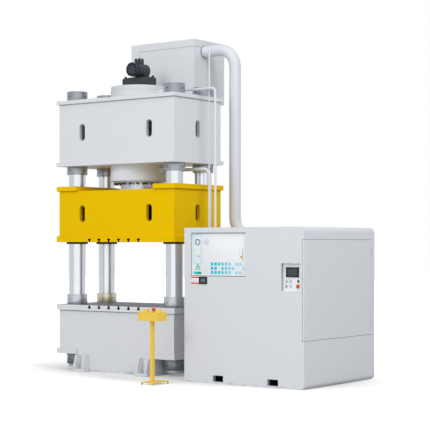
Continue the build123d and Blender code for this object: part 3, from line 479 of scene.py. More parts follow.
# floor: white to the eye, with the machine's shadow on it, and the studio's tones in reflections;
# near the machine, an oval about its middle, it shines less
def makeFloor(size=90.0, level=-0.0006, diffuse=0.66, lift=0.2, farLift=1.0, near=0.95, far=2.0,
              middle=(1.2, 0.0, 0.0), squeeze=(0.417, 0.87, 0.0)):
    clearPick()
    bpy.ops.mesh.primitive_plane_add(size=size, location=(0, 0, level))
    floor = settle("floor")
    material = bpy.data.materials.new("paleFloor")
    material.use_nodes = True
    tree = material.node_tree
    tree.nodes.clear()
    path, place = addNode(tree, "LightPath"), addNode(tree, "TexCoord")
    grain = addNode(tree, "TexNoise", Scale=3.0, Detail=4.0)
    spread = addNode(tree, "MapRange", i3=diffuse - 0.01, i4=diffuse + 0.01)
    offset, share = vectorNode(tree, "SUBTRACT", i1=middle), vectorNode(tree, "MULTIPLY", i1=squeeze)
    reach = vectorNode(tree, "LENGTH")
    raised = addNode(tree, "MapRange", i1=near, i2=far, i3=lift, i4=farLift)
    mirrored = groupNode(tree, "studio")
    matt, tone = addNode(tree, "BsdfDiffuse"), addNode(tree, "Emission")
    glow = addNode(tree, "Emission", Color=(1, 1, 1, 1))
    both, pickOne, pickTwo = addNode(tree, "AddShader"), addNode(tree, "MixShader"), addNode(tree, "MixShader")
    seen = mathNode(tree, "MAXIMUM")
    out = tree.nodes.new("ShaderNodeOutputMaterial")
    wire(tree, (grain, 0, spread, 0), (spread, 0, matt, 0), (place, "Object", offset, 0), (offset, 0, share, 0),
         (share, 0, reach, 0), (reach, "Value", raised, 0), (raised, 0, glow, "Strength"),
         (raised, 0, tone, "Strength"), (matt, 0, both, 0), (glow, 0, both, 1),
         (place, "Object", mirrored, "Direction"), (mirrored, "Colour", tone, 0),
         (path, "Is Camera Ray", seen, 0), (path, "Is Transmission Ray", seen, 1), (seen, 0, pickOne, 0),
         (matt, 0, pickOne, 1), (both, 0, pickOne, 2), (path, "Is Glossy Ray", pickTwo, 0),
         (pickOne, 0, pickTwo, 1), (tone, 0, pickTwo, 2), (pickTwo, 0, out, 0))
    floor.data.materials.append(material)


makeWorld()
makeFloor()
print("camera, lamps and floor set")


# makers of the finishes; wearTones are the tones that chips, dust, scuffs and bare edges have
wearTones = {"chip": (150, 148, 142), "dust": (188, 186, 180), "scuff": (138, 136, 131), "bareEdge": (168, 169, 170),
             "metalDust": (150, 148, 143)}


def newMaterial(name, **constants):
    material = bpy.data.materials.new(name)
    material.use_nodes = True
    tree = material.node_tree
    shader = tree.nodes["Principled BSDF"]
    for key, value in constants.items():
        shader.inputs[key].default_value = value
    return material, tree, shader


def layPaintedTones(tree, node, output, toneBoxes):  # lays a tone over each box of a colour: painted shade, painted light, a painted reflection, a seam
    for centre, half, tone in [paintedToneBoxes[key] for key in toneBoxes]:
        hollow = groupNode(tree, "hollow", Centre=centre, Half=half)
        darker = blendNode(tree, i7=screenColour(*tone))
        wire(tree, (node, output, darker, 6), (hollow, "Mask", darker, 0))
        node, output = darker, 2
    return node, output


def paintFinish(name, colour, stain, mottle=0.05, streaks=0.1, gloss=0.34, chips=0.3, chipColour=wearTones["chip"],
                dust=0.06, scuffHeight=0.06, peel=0.04, shine=0.4, toneBoxes=()):
    material, tree, shader = newMaterial(name, **{"IOR": 1.5, "Specular IOR Level": shine})
    paint = groupNode(tree, "paint", Colour=screenColour(*colour), Stain=screenColour(*stain), Mottle=mottle,
                      Streaks=streaks, Gloss=gloss)
    edge = groupNode(tree, "edge", Reach=0.004, Break_Up=24.0, Amount=chips)
    dusty = groupNode(tree, "dust", Dust=dust, Scuff_Height=scuffHeight)
    chipped, dusted, scuffed = [blendNode(tree, i7=screenColour(*tone))
                                for tone in (chipColour, wearTones["dust"], wearTones["scuff"])]
    bump = addNode(tree, "Bump", Strength=peel, Distance=0.001)
    wire(tree, (paint, "Colour", chipped, 6), (edge, "Mask", chipped, 0), (chipped, 2, dusted, 6),
         (dusty, "Dust", dusted, 0), (dusted, 2, scuffed, 6), (dusty, "Scuffs", scuffed, 0),
         (*layPaintedTones(tree, scuffed, 2, toneBoxes), shader, "Base Color"),
         (paint, "Roughness", shader, "Roughness"), (paint, "Height", bump, "Height"),
         (edge, "Normal", bump, "Normal"), (bump, 0, shader, "Normal"))
    return material


def tableFinish(name, colour, stain, steel, toneBoxes):  # painted plate whose top is planed bare
    material, tree, shader = newMaterial(name, IOR=1.5)
    paint = groupNode(tree, "paint", Colour=screenColour(*colour), Stain=screenColour(*stain), Mottle=0.04,
                      Streaks=0.06, Gloss=0.34)
    grain = groupNode(tree, "grain", Stretch=(30.0, 1.0, 1.0), Scale=14.0, Roughness=0.4)
    edge = groupNode(tree, "edge", Reach=0.003, Break_Up=40.0, Amount=0.3)
    face, parts = addNode(tree, "NewGeometry"), addNode(tree, "SeparateXYZ")
    lying = addNode(tree, "MapRange", i1=0.4, i2=0.6)
    planed = vectorNode(tree, "SCALE", i0=screenColour(*steel)[:3])
    tone, worn = blendNode(tree), blendNode(tree, i7=screenColour(*wearTones["bareEdge"]))
    rough = addNode(tree, "Mix", {"data_type": "FLOAT"})
    bump = addNode(tree, "Bump", Strength=0.08, Distance=0.0008)
    wire(tree, (face, "Normal", parts, 0), (parts, 2, lying, 0), (grain, "Shade", planed, "Scale"),
         (lying, 0, tone, 0), (paint, "Colour", tone, 6), (planed, 0, tone, 7), (tone, 2, worn, 6),
         (edge, "Mask", worn, 0), (*layPaintedTones(tree, worn, 2, toneBoxes), shader, "Base Color"),
         (lying, 0, rough, 0), (paint, "Roughness", rough, 2), (grain, "Roughness", rough, 3),
         (rough, 0, shader, "Roughness"), (lying, 0, shader, "Metallic"),
         (grain, "Height", bump, "Height"), (bump, 0, shader, "Normal"))
    return material


def metalFinish(name, colour, roughness, stretch, scale=40.0, marks=0.06, metallic=1.0, dust=0.05, toneBoxes=()):
    material, tree, shader = newMaterial(name, Metallic=metallic)
    grain = groupNode(tree, "grain", Stretch=stretch, Scale=scale, Roughness=roughness)
    edge = groupNode(tree, "edge", Reach=0.002, Break_Up=60.0, Amount=0.3)
    dusty = groupNode(tree, "dust", Dust=dust, Scuff_Height=0.05)
    tinted = vectorNode(tree, "SCALE", i0=screenColour(*colour)[:3])
    # edges brighter: worn bare metal and, in part, a painted highlight
    bright = blendNode(tree, i7=brighter(colour, 1.35))
    dusted = blendNode(tree, i7=screenColour(*wearTones["metalDust"]))
    bump = addNode(tree, "Bump", Strength=marks, Distance=0.0006)
    wire(tree, (grain, "Shade", tinted, "Scale"), (tinted, 0, bright, 6), (edge, "Mask", bright, 0),
         (bright, 2, dusted, 6), (dusty, "Dust", dusted, 0),
         (*layPaintedTones(tree, dusted, 2, toneBoxes), shader, "Base Color"),
         (grain, "Roughness", shader, "Roughness"), (grain, "Height", bump, "Height"), (bump, 0, shader, "Normal"))
    return material


def mouldedFinish(name, colour, roughness=0.4, relief=0.1, texture=900.0, sheen=0.0):
    # moulded plastic or rubber with a fine skin, its edges lighter, partly rubbed and partly a painted highlight
    material, tree, shader = newMaterial(name, **{"IOR": 1.46, "Sheen Weight": sheen, "Specular IOR Level": 0.35})
    paint = groupNode(tree, "paint", Colour=screenColour(*colour), Stain=screenColour(*[c * 0.75 for c in colour]),
                      Mottle=0.06, Streaks=0.0, Gloss=roughness)
    skin = noiseNode(tree, Scale=texture, Detail=2.0)
    edge = groupNode(tree, "edge", Reach=0.0012, Break_Up=140.0, Amount=0.3)
    # lighter edges: rubbing, and in part a painted highlight
    rubbedAndHighlit = blendNode(tree, i7=screenColour(*[min(255, c * 1.25 + 12) for c in colour]))
    bump = addNode(tree, "Bump", Strength=relief, Distance=0.0004)
    wire(tree, (paint, "Colour", rubbedAndHighlit, 6), (edge, "Mask", rubbedAndHighlit, 0), (rubbedAndHighlit, 2, shader, "Base Color"),
         (paint, "Roughness", shader, "Roughness"), (skin, 0, bump, "Height"), (bump, 0, shader, "Normal"))
    return material


def glowFinish(name, colour, strength):  # a lit segment behind tinted glass
    material, tree, shader = newMaterial(name, Roughness=0.3, **{"Emission Strength": strength})
    grid = noiseNode(tree, Scale=400.0, Detail=1.0)
    ramp = blendNode(tree, i6=brighter(colour, 0.82), i7=screenColour(*colour))
    wire(tree, (grid, 0, ramp, 0), (ramp, 2, shader, "Base Color"), (ramp, 2, shader, "Emission Color"))
    return material


def glassFinish(name, colour, smear=0.12):  # dark glass over a display, with finger smears
    material, tree, shader = newMaterial(name, **{"IOR": 1.5, "Coat Weight": 0.6, "Coat Roughness": 0.05})
    cloud = noiseNode(tree, Scale=24.0, Detail=4.0)
    level = addNode(tree, "MapRange", i3=0.08, i4=0.08 + smear)
    tone = blendNode(tree, i6=screenColour(*colour), i7=screenColour(*[c * 1.2 + 6 for c in colour]))
    wire(tree, (cloud, 0, level, 0), (level, 0, shader, "Roughness"), (cloud, 0, tone, 0),
         (tone, 2, shader, "Base Color"))
    return material


def printFinish(name, colour, faded=None, fadeFrom=0.0, fadeTo=1.0):
    # printed ink that may fade to the right, as on the panel's lamps
    material, tree, shader = newMaterial(name, IOR=1.45)
    place, along = addNode(tree, "TexCoord"), addNode(tree, "SeparateXYZ")
    spots = noiseNode(tree, Scale=90.0, Detail=3.0)
    share = addNode(tree, "MapRange", i1=fadeFrom, i2=fadeTo)
    fade = blendNode(tree, i6=screenColour(*colour), i7=screenColour(*(faded or colour)))
    ink = blendNode(tree, i7=brighter(colour, 1.12))
    faint = addNode(tree, "MapRange", i1=0.35, i2=0.75, i4=0.25)
    rough = addNode(tree, "MapRange", i3=0.35, i4=0.5)
    wire(tree, (place, "Object", along, 0), (along, "X", share, 0), (share, 0, fade, 0), (spots, 0, faint, 0),
         (faint, 0, ink, 0), (fade, 2, ink, 6), (ink, 2, shader, "Base Color"), (spots, 0, rough, 0),
         (rough, 0, shader, "Roughness"))
    return material


# tones laid over boxed places: painted shade inside windows, slots and the panel's recess, painted shadow under
# overhanging plates, painted light on lit pocket walls, a painted reflection on one nut, and the seams between the
# beam's plates: centre, half size, tone
paintedToneBoxes = {
    # painted shade inside the crown's windows; painted shadow under the crown's top flange and under the table's
    # overhang
    "crownInsideShade": ((0.0, 0.0, 3.58), (1.04, 0.49, 0.48), (170, 175, 180)),
    "crownFlangeShadow": ((0.0, 0.0, 4.0205), (1.115, 0.57, 0.0075), (184, 188, 196)),
    "tableOverhangShadow": ((0.0, 0.0, 0.9035), (1.115, 0.57, 0.0065), (148, 153, 162)),
    # painted shade inside the beam's windows
    "beamInsideShade": ((0.0, 0.0, 2.35), (1.04, 0.49, 0.34), (170, 118, 16)),
    "beamSeamLeft": ((-0.942, 0.0, 2.7035), (0.2, 0.597, 0.0045), (198, 150, 0)),
    "beamSeamRight": ((0.942, 0.0, 2.7035), (0.2, 0.597, 0.0045), (198, 150, 0)),
    # painted shade deep in the T-slots of the beam and the table
    "beamSlotShade": ((0.0, 0.0, 1.9638), (0.55, 0.5938, 0.0255), (24, 20, 12)),
    "tableSlotShade": ((0.0, 0.0, 0.9675), (0.55, 0.5938, 0.0252), (14, 15, 17)),
    # painted shade on the left and top walls of the panel's recess
    "recessLeftShade": ((3.1450, -0.852, 1.469), (0.0025, 0.0215, 0.187), (176, 180, 186)),
    "recessTopShadow": ((3.2960, -0.852, 1.655), (0.152, 0.0215, 0.0025), (150, 154, 160)),
    # painted light on the lit left walls of the two fork pockets
    "pocketLeftLit": ((2.027, -0.843, 0.070), (0.004, 0.033, 0.046), (205, 210, 216)),
    "pocketRightLit": ((2.924, -0.843, 0.070), (0.004, 0.033, 0.046), (205, 210, 216)),
    # painted warm reflection on the rear left table nut
    "nutWarmReflection": ((-0.945, 0.343, 1.067), (0.17, 0.17, 0.09), (240, 229, 206)),
}

# one finish for every slot of the record
turned = (1.0, 1.0, 26.0)  # how far the marks of a lathe are drawn out along each axis
finishes = {
    # grey paint with painted shade in the crown's windows and painted shadow under its top flange and the table
    "press_paint": paintFinish("greyPressPaint", (222, 223, 225), (176, 178, 178), mottle=0.03, streaks=0.04,
                               toneBoxes=("crownInsideShade", "crownFlangeShadow", "tableOverhangShadow")),
    # yellow paint with painted shade in the beam's windows and T-slots
    "slide_paint": paintFinish("yellowBeamPaint", (237, 193, 0), (204, 158, 4), mottle=0.03, streaks=0.04,
                               chipColour=(168, 130, 30), dust=0.01, shine=0.05,
                               toneBoxes=("beamInsideShade", "beamSeamLeft", "beamSeamRight", "beamSlotShade")),
    "cabinet_paint": paintFinish("greyCabinetPaint", (219, 221, 224), (186, 187, 186), mottle=0.02, streaks=0.02,
                                 chips=0.15, scuffHeight=0.04, peel=0.06),
    "pipe_paint": paintFinish("greyPipePaint", (220, 222, 226), (186, 187, 186), mottle=0.02, streaks=0.02, chips=0.1),
    # dark skid paint with painted light on the lit pocket walls
    "base_paint": paintFinish("darkSkidPaint", (40, 43, 46), (28, 30, 32), toneBoxes=("pocketLeftLit", "pocketRightLit")),
    "panel_paint": paintFinish("paleBoardPaint", (238, 240, 241), (214, 215, 214), mottle=0.015, streaks=0.0,
                               chips=0.05, gloss=0.26, dust=0.0, scuffHeight=0.01),
    "pedestal_paint": paintFinish("yellowStandPaint", (243, 204, 82), (210, 164, 44), mottle=0.03,
                                  chipColour=(160, 126, 56), shine=0.15),
    "valve_paint": paintFinish("slateValvePaint", (50, 58, 64), (34, 40, 44), mottle=0.1, gloss=0.36, chips=0.5,
                               chipColour=(84, 92, 98), dust=0.04),
    "pack_paint": paintFinish("reservoirPaint", (96, 112, 122), (60, 66, 70)),
    "motor_paint": paintFinish("motorPaint", (70, 92, 112), (44, 50, 56)),
    # tray paint with painted shade on its recess's left and top walls
    "tray_paint": paintFinish("trayPaint", (238, 240, 242), (200, 202, 204), mottle=0.02, streaks=0.0, chips=0.1,
                              dust=0.02, toneBoxes=("recessLeftShade", "recessTopShadow")),
    # the table plate carries painted shade in its T-slots
    "machined_steel": tableFinish("tablePlate", (222, 223, 225), (176, 178, 178), (142, 149, 157), ("tableSlotShade",)),
    "nut_steel": metalFinish("nutSteel", (173, 177, 184), 0.3, turned, 22.0, 0.08),
    "manifold_steel": metalFinish("manifoldSteel", (150, 153, 158), 0.38, (18.0, 1.0, 1.0), 24.0),
    "column_chrome": metalFinish("columnChrome", (236, 239, 243), 0.08, (1.0, 1.0, 40.0), 16.0, 0.015, dust=0.0),
    "ram_chrome": metalFinish("ramChrome", (222, 225, 229), 0.1, (1.0, 1.0, 40.0), 12.0, 0.015, dust=0.0),
    "bush_bronze": metalFinish("bushBronze", (176, 130, 74), 0.34, (1.0, 1.0, 30.0), 26.0),
    "display_plastic": mouldedFinish("meterCase", (28, 30, 33), 0.34),
    "screen_glass": glassFinish("screenGlass", (42, 49, 54)),
    "button_black": mouldedFinish("selectorBlack", (40, 43, 47), 0.38),
    "button_pale": mouldedFinish("paleCap", (236, 238, 240), 0.3, 0.04),
    "button_green": mouldedFinish("greenCap", (136, 224, 158), 0.3, 0.04),
    "palm_yellow": mouldedFinish("palmCap", (243, 203, 74), 0.32, 0.06),
    "stop_red": mouldedFinish("stopCap", (222, 62, 36), 0.3, 0.05),
}

# finishes of the added pieces, by maker
addedFinishes = {
    paintFinish: {"cylinderPaint": ((230, 234, 241), (176, 178, 182), 0.03),
                  "capPaint": ((212, 213, 214), (176, 178, 178), 0.03, 0.02)},
    # lit and shaded copies of the nut steel: lighter on the table as painted light, with a painted warm reflection on
    # one nut, darker at the foot as painted shade
    metalFinish: {"tableNutSteel": ((212, 215, 221), 0.28, turned, 22.0, 0.08, 1.0, 0.05, ("nutWarmReflection",)),
                  "footNutSteel": ((150, 155, 162), 0.34, turned, 22.0, 0.08),
                  "ramSteel": ((210, 214, 221), 0.16, (1.0, 1.0, 18.0), 30.0, 0.03),
                  "boltBlack": ((20, 22, 24), 0.5, (1.0, 1.0, 12.0), 60.0, 0.1, 0.3),
                  "boltSteel": ((98, 86, 72), 0.4, (1.0, 1.0, 12.0), 60.0, 0.1)},
    mouldedFinish: {"wiperRubber": ((24, 25, 27), 0.55, 0.2, 500.0, 0.1), "screenBezel": ((30, 35, 38), 0.42),
                    "stopYellow": ((232, 176, 4), 0.36, 0.06), "sealGrey": ((112, 116, 122), 0.5, 0.15, 600.0),
                    "seamGrey": ((150, 155, 165), 0.5, 0.15, 600.0)},
    printFinish: {"darkRule": ((108, 112, 124),), "inkCyan": ((0, 190, 216), (200, 234, 238), 2.06, 2.60),
                  "inkFrame": ((158, 224, 232),), "inkBar": ((14, 190, 224), (16, 156, 56), 1.72, 1.78),
                  "inkGreen": ((26, 182, 110),), "inkGrey": ((112, 116, 126),), "inkPale": ((218, 221, 224),),
                  "inkOrange": ((222, 168, 12),), "inkSlot": ((190, 193, 202),), "inkRed": ((222, 52, 28),),
                  "labelWhite": ((236, 237, 238),)},
    glassFinish: {"lampWhite": ((236, 238, 240), 0.05)},
    glowFinish: {"digitGlow": ((150, 160, 166), 0.15)},
}
for maker, plans in addedFinishes.items():
    finishes.update({name: maker(name, *values) for name, values in plans.items()})
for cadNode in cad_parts.values():
    for place in cadNode.material_slots:
        place.material = finishes[place.material.name.split(".")[0]]
ownFinish = {"cylinder": "cylinderPaint", "hinge_pins": "cabinet_paint", "ram": "ramSteel", "pipe_blocks": "pipe_paint"}
for cadName, finish in ownFinish.items():
    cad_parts[cadName].material_slots[0].material = finishes[finish]
print("finishes made:", len(finishes))

# round nuts with tommy holes, one modelled for each level
columnPlaces = [(-0.945, -0.343), (-0.945, 0.343), (0.945, -0.343), (0.945, 0.343)]
nutPlan = {
    "radius": 0.155, "bore": 0.1252, "chamfer": 0.004, "washerChamfer": 0.003,
    "holes": 4, "holeRadius": 0.013, "holeDepth": 0.026, "turn": -5,
    "levels": {
        "crownTopNuts": ("crown_nuts", 4.082, 4.232, None, "nut_steel"),
        "crownUnderNuts": ("crown_nuts", 2.966, 3.086, None, "nut_steel"),
        # the table nuts take a lighter copy of the nut steel as painted light, the foot nuts a darker copy as painted
        # shade
        "tableNuts": ("bed_nuts", 0.990, 1.143, None, "tableNutSteel"),
        "footNuts": ("bed_nuts", 0.085, 0.230, (0.175, 0.250), "footNutSteel"),
    },
}


def makeNuts(name, cadName, low, high, washer, finish):
    (x, y), reach, bore = columnPlaces[0], nutPlan["radius"], nutPlan["bore"]
    nut = addRing(name, bore, reach, low, high, (x, y), chamfer=nutPlan["chamfer"], steps=72)
    cutters = []
    for index in range(nutPlan["holes"]):
        angle = math.radians(index * 360 / nutPlan["holes"] + nutPlan["turn"])
        clearPick()
        bpy.ops.mesh.primitive_cylinder_add(
            vertices=20, radius=nutPlan["holeRadius"], depth=2 * nutPlan["holeDepth"],
            location=(x + reach * math.cos(angle), y + reach * math.sin(angle), (low + high) / 2),
            rotation=(0, math.pi / 2, angle))
        cutters.append(settle("tommyCutter"))
    nut = cutAway(nut, joinUp(cutters))
    if washer:
        outer, top = washer
        nut = joinUp([nut, addRing("washer", bore, outer, high, top, (x, y), chamfer=nutPlan["washerChamfer"])])
    nut = repeatAt(nut, columnPlaces)
    hangOn(nut, finish, "frame")
    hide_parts(cadName)


for nutName, plan in nutPlan["levels"].items():
    makeNuts(nutName, *plan)
print("nuts made")

# wiper rings under the beam, round each bush, with a lip on the column
wiperPlan = {"inner": 0.1262, "outer": 0.163, "low": 1.9085, "high": 1.9385, "bushRadius": 0.1553, "bushLow": 1.916,
             "overlap": 0.001, "chamfer": 0.001, "drawnFrom": 0.15, "drawnTo": 0.90}
lip = addRing("wiperRings", wiperPlan["inner"], wiperPlan["outer"], wiperPlan["low"], wiperPlan["bushLow"],
              columnPlaces[0], chamfer=wiperPlan["chamfer"], steps=72)
drawIn(lip, wiperPlan["low"], columnPlaces[0], wiperPlan["drawnFrom"], wiperPlan["drawnTo"])
skirt = addRing("wiperSkirt", wiperPlan["bushRadius"], wiperPlan["outer"], wiperPlan["bushLow"] - wiperPlan["overlap"],
                wiperPlan["high"], columnPlaces[0], chamfer=wiperPlan["chamfer"], steps=72)
hangOn(repeatAt(joinUp([lip, skirt]), columnPlaces), "wiperRubber", "slide")

# bolts: round the gland, on the valve block, on the valve's cap and on its pilot; sizes as shares of a head
boltPlan = {
    "gland": {"count": 20, "circle": 0.362, "across": 0.050, "head": 0.028, "level": 2.824},
    "block": {"x": (-0.215, 0.215), "y": (-0.06, 0.06), "across": 0.036, "head": 0.024, "level": 4.4195},
    "cap": {"count": 10, "circle": 0.084, "across": 0.026, "head": 0.014, "face": -0.182, "axis": 4.529},
    "pilot": {"x": (-0.034, 0.034), "y": (-0.034, 0.034), "across": 0.032, "head": 0.020, "level": 4.69},
    "soften": 0.06, "rim": 0.2, "socketDepth": 0.55,
}


def addBolt(name, plan, socket, centre, start, outwards, along="Z"):
    # hexagon or socket head: a six-sided or round bar, its end inset and sunk if it has a socket
    i, across, end = axisIndex[along], plan["across"], start + outwards * plan["head"]
    bolt = addRound(name, across / 2, start, end, centre, along, 24 if socket else 6, across * boltPlan["soften"])
    if socket:
        editPick(bolt, "FACE", lambda c, n: abs(c[i] - end) < 1e-5)
        bpy.ops.mesh.inset(thickness=across * boltPlan["rim"])
        move = [0, 0, 0]
        move[i] = -outwards * plan["head"] * boltPlan["socketDepth"]
        bpy.ops.mesh.extrude_region_move(TRANSFORM_OT_translate={"value": move})
        leaveEdit()
    return bolt


plan = boltPlan["gland"]
bolt = addBolt("glandBolts", plan, False, (plan["circle"], 0), plan["level"], -1)
hangOn(repeatRound(bolt, plan["count"], (0, 0, 0)), "boltSteel")
plan = boltPlan["cap"]
bolt = addBolt("valveCapBolts", plan, True, (0, plan["axis"] + plan["circle"]), plan["face"], -1, "Y")
hangOn(repeatRound(bolt, plan["count"], (0, 0, plan["axis"]), "Y"), "boltBlack")
for boltName, key in (("valveBlockBolts", "block"), ("pilotBolts", "pilot")):
    plan = boltPlan[key]
    places = [(px, py) for px in plan["x"] for py in plan["y"]]
    hangOn(repeatAt(addBolt(boltName, plan, True, places[0], plan["level"], 1), places), "boltBlack")
print("bolts made")

# weld beads where the beams' walls meet their flange plates: body, finish, span, level, and the side
# that stays open because it is inside the beam (1 right, -1 left, 0 none)
beadPlan = {
    "crownLowBead": ("frame", "press_paint", (-1.110, 1.110), 3.144, 0),
    "crownHighBead": ("frame", "press_paint", (-1.110, 1.110), 4.028, 0),
    "beamLowBead": ("slide", "slide_paint", (-1.110, 1.110), 2.027, 0),
    "beamLeftBead": ("slide", "slide_paint", (-1.110, -0.743), 2.708, 1),
    "beamRightBead": ("slide", "slide_paint", (0.743, 1.110), 2.708, -1),
    "bedLeftBead": ("frame", "press_paint", (-1.110, -0.743), 0.330, 1),
    "bedRightBead": ("frame", "press_paint", (0.743, 1.110), 0.330, -1),
}
beadSize = {"radius": 0.007, "halfDepth": 0.563, "roundness": 2}


def makeBead(name, body, finish, span, level, openSide):
    left, right = span
    bead = startFace(name, ((left + right) / 2, 0, level), (right - left, 2 * beadSize["halfDepth"]), turn=(0, 0, 0))
    bpy.ops.mesh.delete(type="ONLY_FACE")
    if openSide:
        inner = right if openSide > 0 else left
        editPick(bead, "EDGE", lambda c, d: abs(c.x - inner) < 1e-4)
        bpy.ops.mesh.delete(type="EDGE")
    leaveEdit()
    hangOn(roundOut(beadSize["radius"], beadSize["roundness"]), finish, body, angle=60)


for beadName, plan in beadPlan.items():
    makeBead(beadName, *plan)
print("weld beads laid")

# duct and pipes with smooth bends: node, radius, bend, roundness, route
tubePlan = {
    "ductTube": ("duct", 0.0875, 0.28, 14,
                 [(0.600, 0.840, 4.856), (1.178, 0.840, 4.856), (1.178, 0.840, 2.030), (1.534, 0.840, 2.030)]),
    "headTube": ("pipe_head", 0.0175, 0.065, 8,
                 [(0.500, -0.032, 4.167), (1.450, -0.032, 4.167), (1.450, -0.032, 1.950), (1.534, -0.032, 1.950)]),
    "returnTube": ("pipe_return", 0.025, 0.11, 10,
                   [(0.500, 0.0, 3.000), (1.327, 0.0, 3.000), (1.327, 0.0, 1.850), (1.534, 0.0, 1.850)]),
    "ventTube": ("pipe_vent", 0.011, 0.04, 6, [(1.318, 0.0, 2.9336), (1.318, 0.0, 4.725), (0.740, 0.7625, 4.815)]),
}
for tubeName, (cadName, radius, bend, roundness, route) in tubePlan.items():
    tube = addTube(tubeName, radius, route, bend, roundness)
    hangOn(tube, "pipe_paint", "frame", angle=50)
    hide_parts(cadName)

# softened cap of the cylinder, two steps high: radius, low, high
capPlan = {"headCap": (0.430, 4.082, 4.196), "headCapLip": (0.424, 4.195, 4.270)}
cap = joinUp([addRound(key, *size, (0, 0), sides=96, soften=0.006, steps=3) for key, size in capPlan.items()])
hangOn(cap, "capPaint", "frame")
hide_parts("cylinder_cap")
print("duct, pipes and cap made")

# thin strips, softening and corners: the tank's folds (under its lid, upright on the left, along its side),
# and the seal lips of the door's frame, on the front sheet and along its top and bottom
stripPlan = {
    "tankSeam": (0.0003, [((-0.500, 0.5925, 4.9150), (0.6005, 0.5945, 4.9210)),
                          ((-0.500, 0.5925, 4.7800), (-0.496, 0.5945, 4.9210)),
                          ((0.5995, 0.5925, 4.9150), (0.6015, 0.7450, 4.9210))]),
    "doorSeal": (0.0005, [((3.4735, -0.8750, 0.6330), (3.4795, -0.8738, 1.9720)),
                          ((3.4735, -0.8750, 1.9655), (3.5080, 0.8830, 1.9720)),
                          ((3.4735, -0.8750, 0.6330), (3.5080, 0.8830, 0.6395))]),
}
for stripName, (soften, strips) in stripPlan.items():
    hangOn(joinUp([addBlock(stripName, low, high, soften) for low, high in strips]), "seamGrey")

# valve block with its rounded upper corners
blockPlan = {"span": (-0.255, 0.255), "levels": (4.2300, 4.420), "half": 0.095, "corner": 0.038, "soften": 0.006}
valveBlock = addPlate("valveBlock", blockPlan["span"], blockPlan["levels"], -blockPlan["half"], 2 * blockPlan["half"],
                      blockPlan["corner"], soften=blockPlan["soften"])
hangOn(valveBlock, "valve_paint", "frame")
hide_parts("valve_block")
print("tank seams and valve block made")

# collars where the duct and the pipes go through sheet metal, the duct's in a grey darker than its paint as a painted
# shadow ring: bore, radius, finish, then span and place of each
collarPlan = {
    "ductCollars": (0.0885, 0.098, "seamGrey", ((0.6005, 0.612), (0.84, 4.856)), ((1.512, 1.5335), (0.84, 2.03))),
    "pipeCollars": (0.0255, 0.046, "sealGrey", ((1.518, 1.5335), (0.0, 1.85))),
    "headPipeCollar": (0.018, 0.036, "sealGrey", ((1.518, 1.5335), (-0.032, 1.95))),
}
for collarName, (inner, outer, finish, *collars) in collarPlan.items():
    hangOn(joinUp([addRing(collarName, inner, outer, *span, place, "X", chamfer=0.003, steps=48)
                   for span, place in collars]), finish)

# information board: a framed sheet with plain printed figures and nothing to read, and dark strips on its left, top and
# bottom as the recess's painted shadow
board = {
    "face": -0.852, "span": (1.664, 2.566), "levels": (1.476, 2.054), "sheet": 0.0015, "ink": 0.0006,
    "shadowFront": -0.8752, "shadowThick": 0.0012,
    "shadowStrips": [((1.655, 1.663), (1.467, 2.063)), ((1.655, 2.575), (2.055, 2.063)), ((1.655, 2.575), (1.467, 1.475))],
    "gauge": (1.750, 1.933), "gaugeRings": [(0.032, 0.046), (0.021, 0.024)], "disc": (1.904, 1.938), "discRadius": 0.05,
}
sheet = addPlate("boardSheet", board["span"], board["levels"], board["face"] - board["sheet"], board["sheet"],
                 soften=0.0005)
hangOn(sheet, "panel_paint", "frame")
inkFront = board["face"] - board["sheet"] - board["ink"]
inkDepths = (inkFront, inkFront + board["ink"])


def inkPlate(name, span, levels, corner=0.0, rim=0.0):
    return addPlate(name, span, levels, inkFront, board["ink"], corner, rim)


# dark strips along the board's left, top and bottom: the recess's painted shadow
hangOn(joinUp([addPlate("boardShadowStrips", span, levels, board["shadowFront"], board["shadowThick"])
               for span, levels in board["shadowStrips"]]), "darkRule")
hangOn(joinUp([addRing("boardGauge", inner, outer, *inkDepths, board["gauge"], "Y", steps=40)
               for inner, outer in board["gaugeRings"]]), "inkGrey")
hangOn(addRound("boardDisc", board["discRadius"], *inkDepths, board["disc"], "Y", 40, soften=0.0002), "inkPale")

# printed figures: finish, then span, levels, corner and rim of each plate
figurePlan = {
    "boardFrame": ("inkFrame", ((1.674, 1.824), (1.627, 2.046), 0.03, 0.014)),
    "boardNeedle": ("inkGrey", ((1.726, 1.772), (1.738, 1.745), 0.003)),
    "boardNeedleTip": ("inkOrange", ((1.772, 1.790), (1.724, 1.740), 0.005)),
    "boardLeaf": ("inkGreen", ((1.716, 1.792), (1.556, 1.598), 0.018, 0.011),
                  ((1.732, 1.768), (1.597, 1.626), 0.012, 0.009)),
    "boardBar": ("inkBar", ((1.680, 1.816), (1.492, 1.526), 0.012)),
    "boardSlot": ("inkSlot", ((2.462, 2.516), (1.662, 1.858), 0.026, 0.004), ((2.502, 2.514), (1.690, 1.835), 0.005)),
    "boardSlotDot": ("inkOrange", ((2.470, 2.500), (1.716, 1.746), 0.013)),
}
for figureName, (finish, *plates) in figurePlan.items():
    hangOn(joinUp([inkPlate(figureName, *plate) for plate in plates]), finish)

# the rows of small lamps on the board: columns that are filled in each row
tilePlan = {"first": 1.977, "pitch": 0.0590, "size": 0.043, "corner": 0.009, "rows": {
    1.612: (0, 1, 2, 3, 4, 5, 7, 8), 1.554: (0, 1, 3, 4, 5, 6, 9), 1.497: (0, 1, 2, 3, 4, 5, 7, 8)}}
places = [(tilePlan["first"] + column * tilePlan["pitch"], level)
          for level, columns in tilePlan["rows"].items() for column in columns]
tile = inkPlate("boardTiles", *[(start, start + tilePlan["size"]) for start in places[0]], tilePlan["corner"])
hangOn(repeatAt(tile, places, upright=True), "inkCyan")
print("information board made")

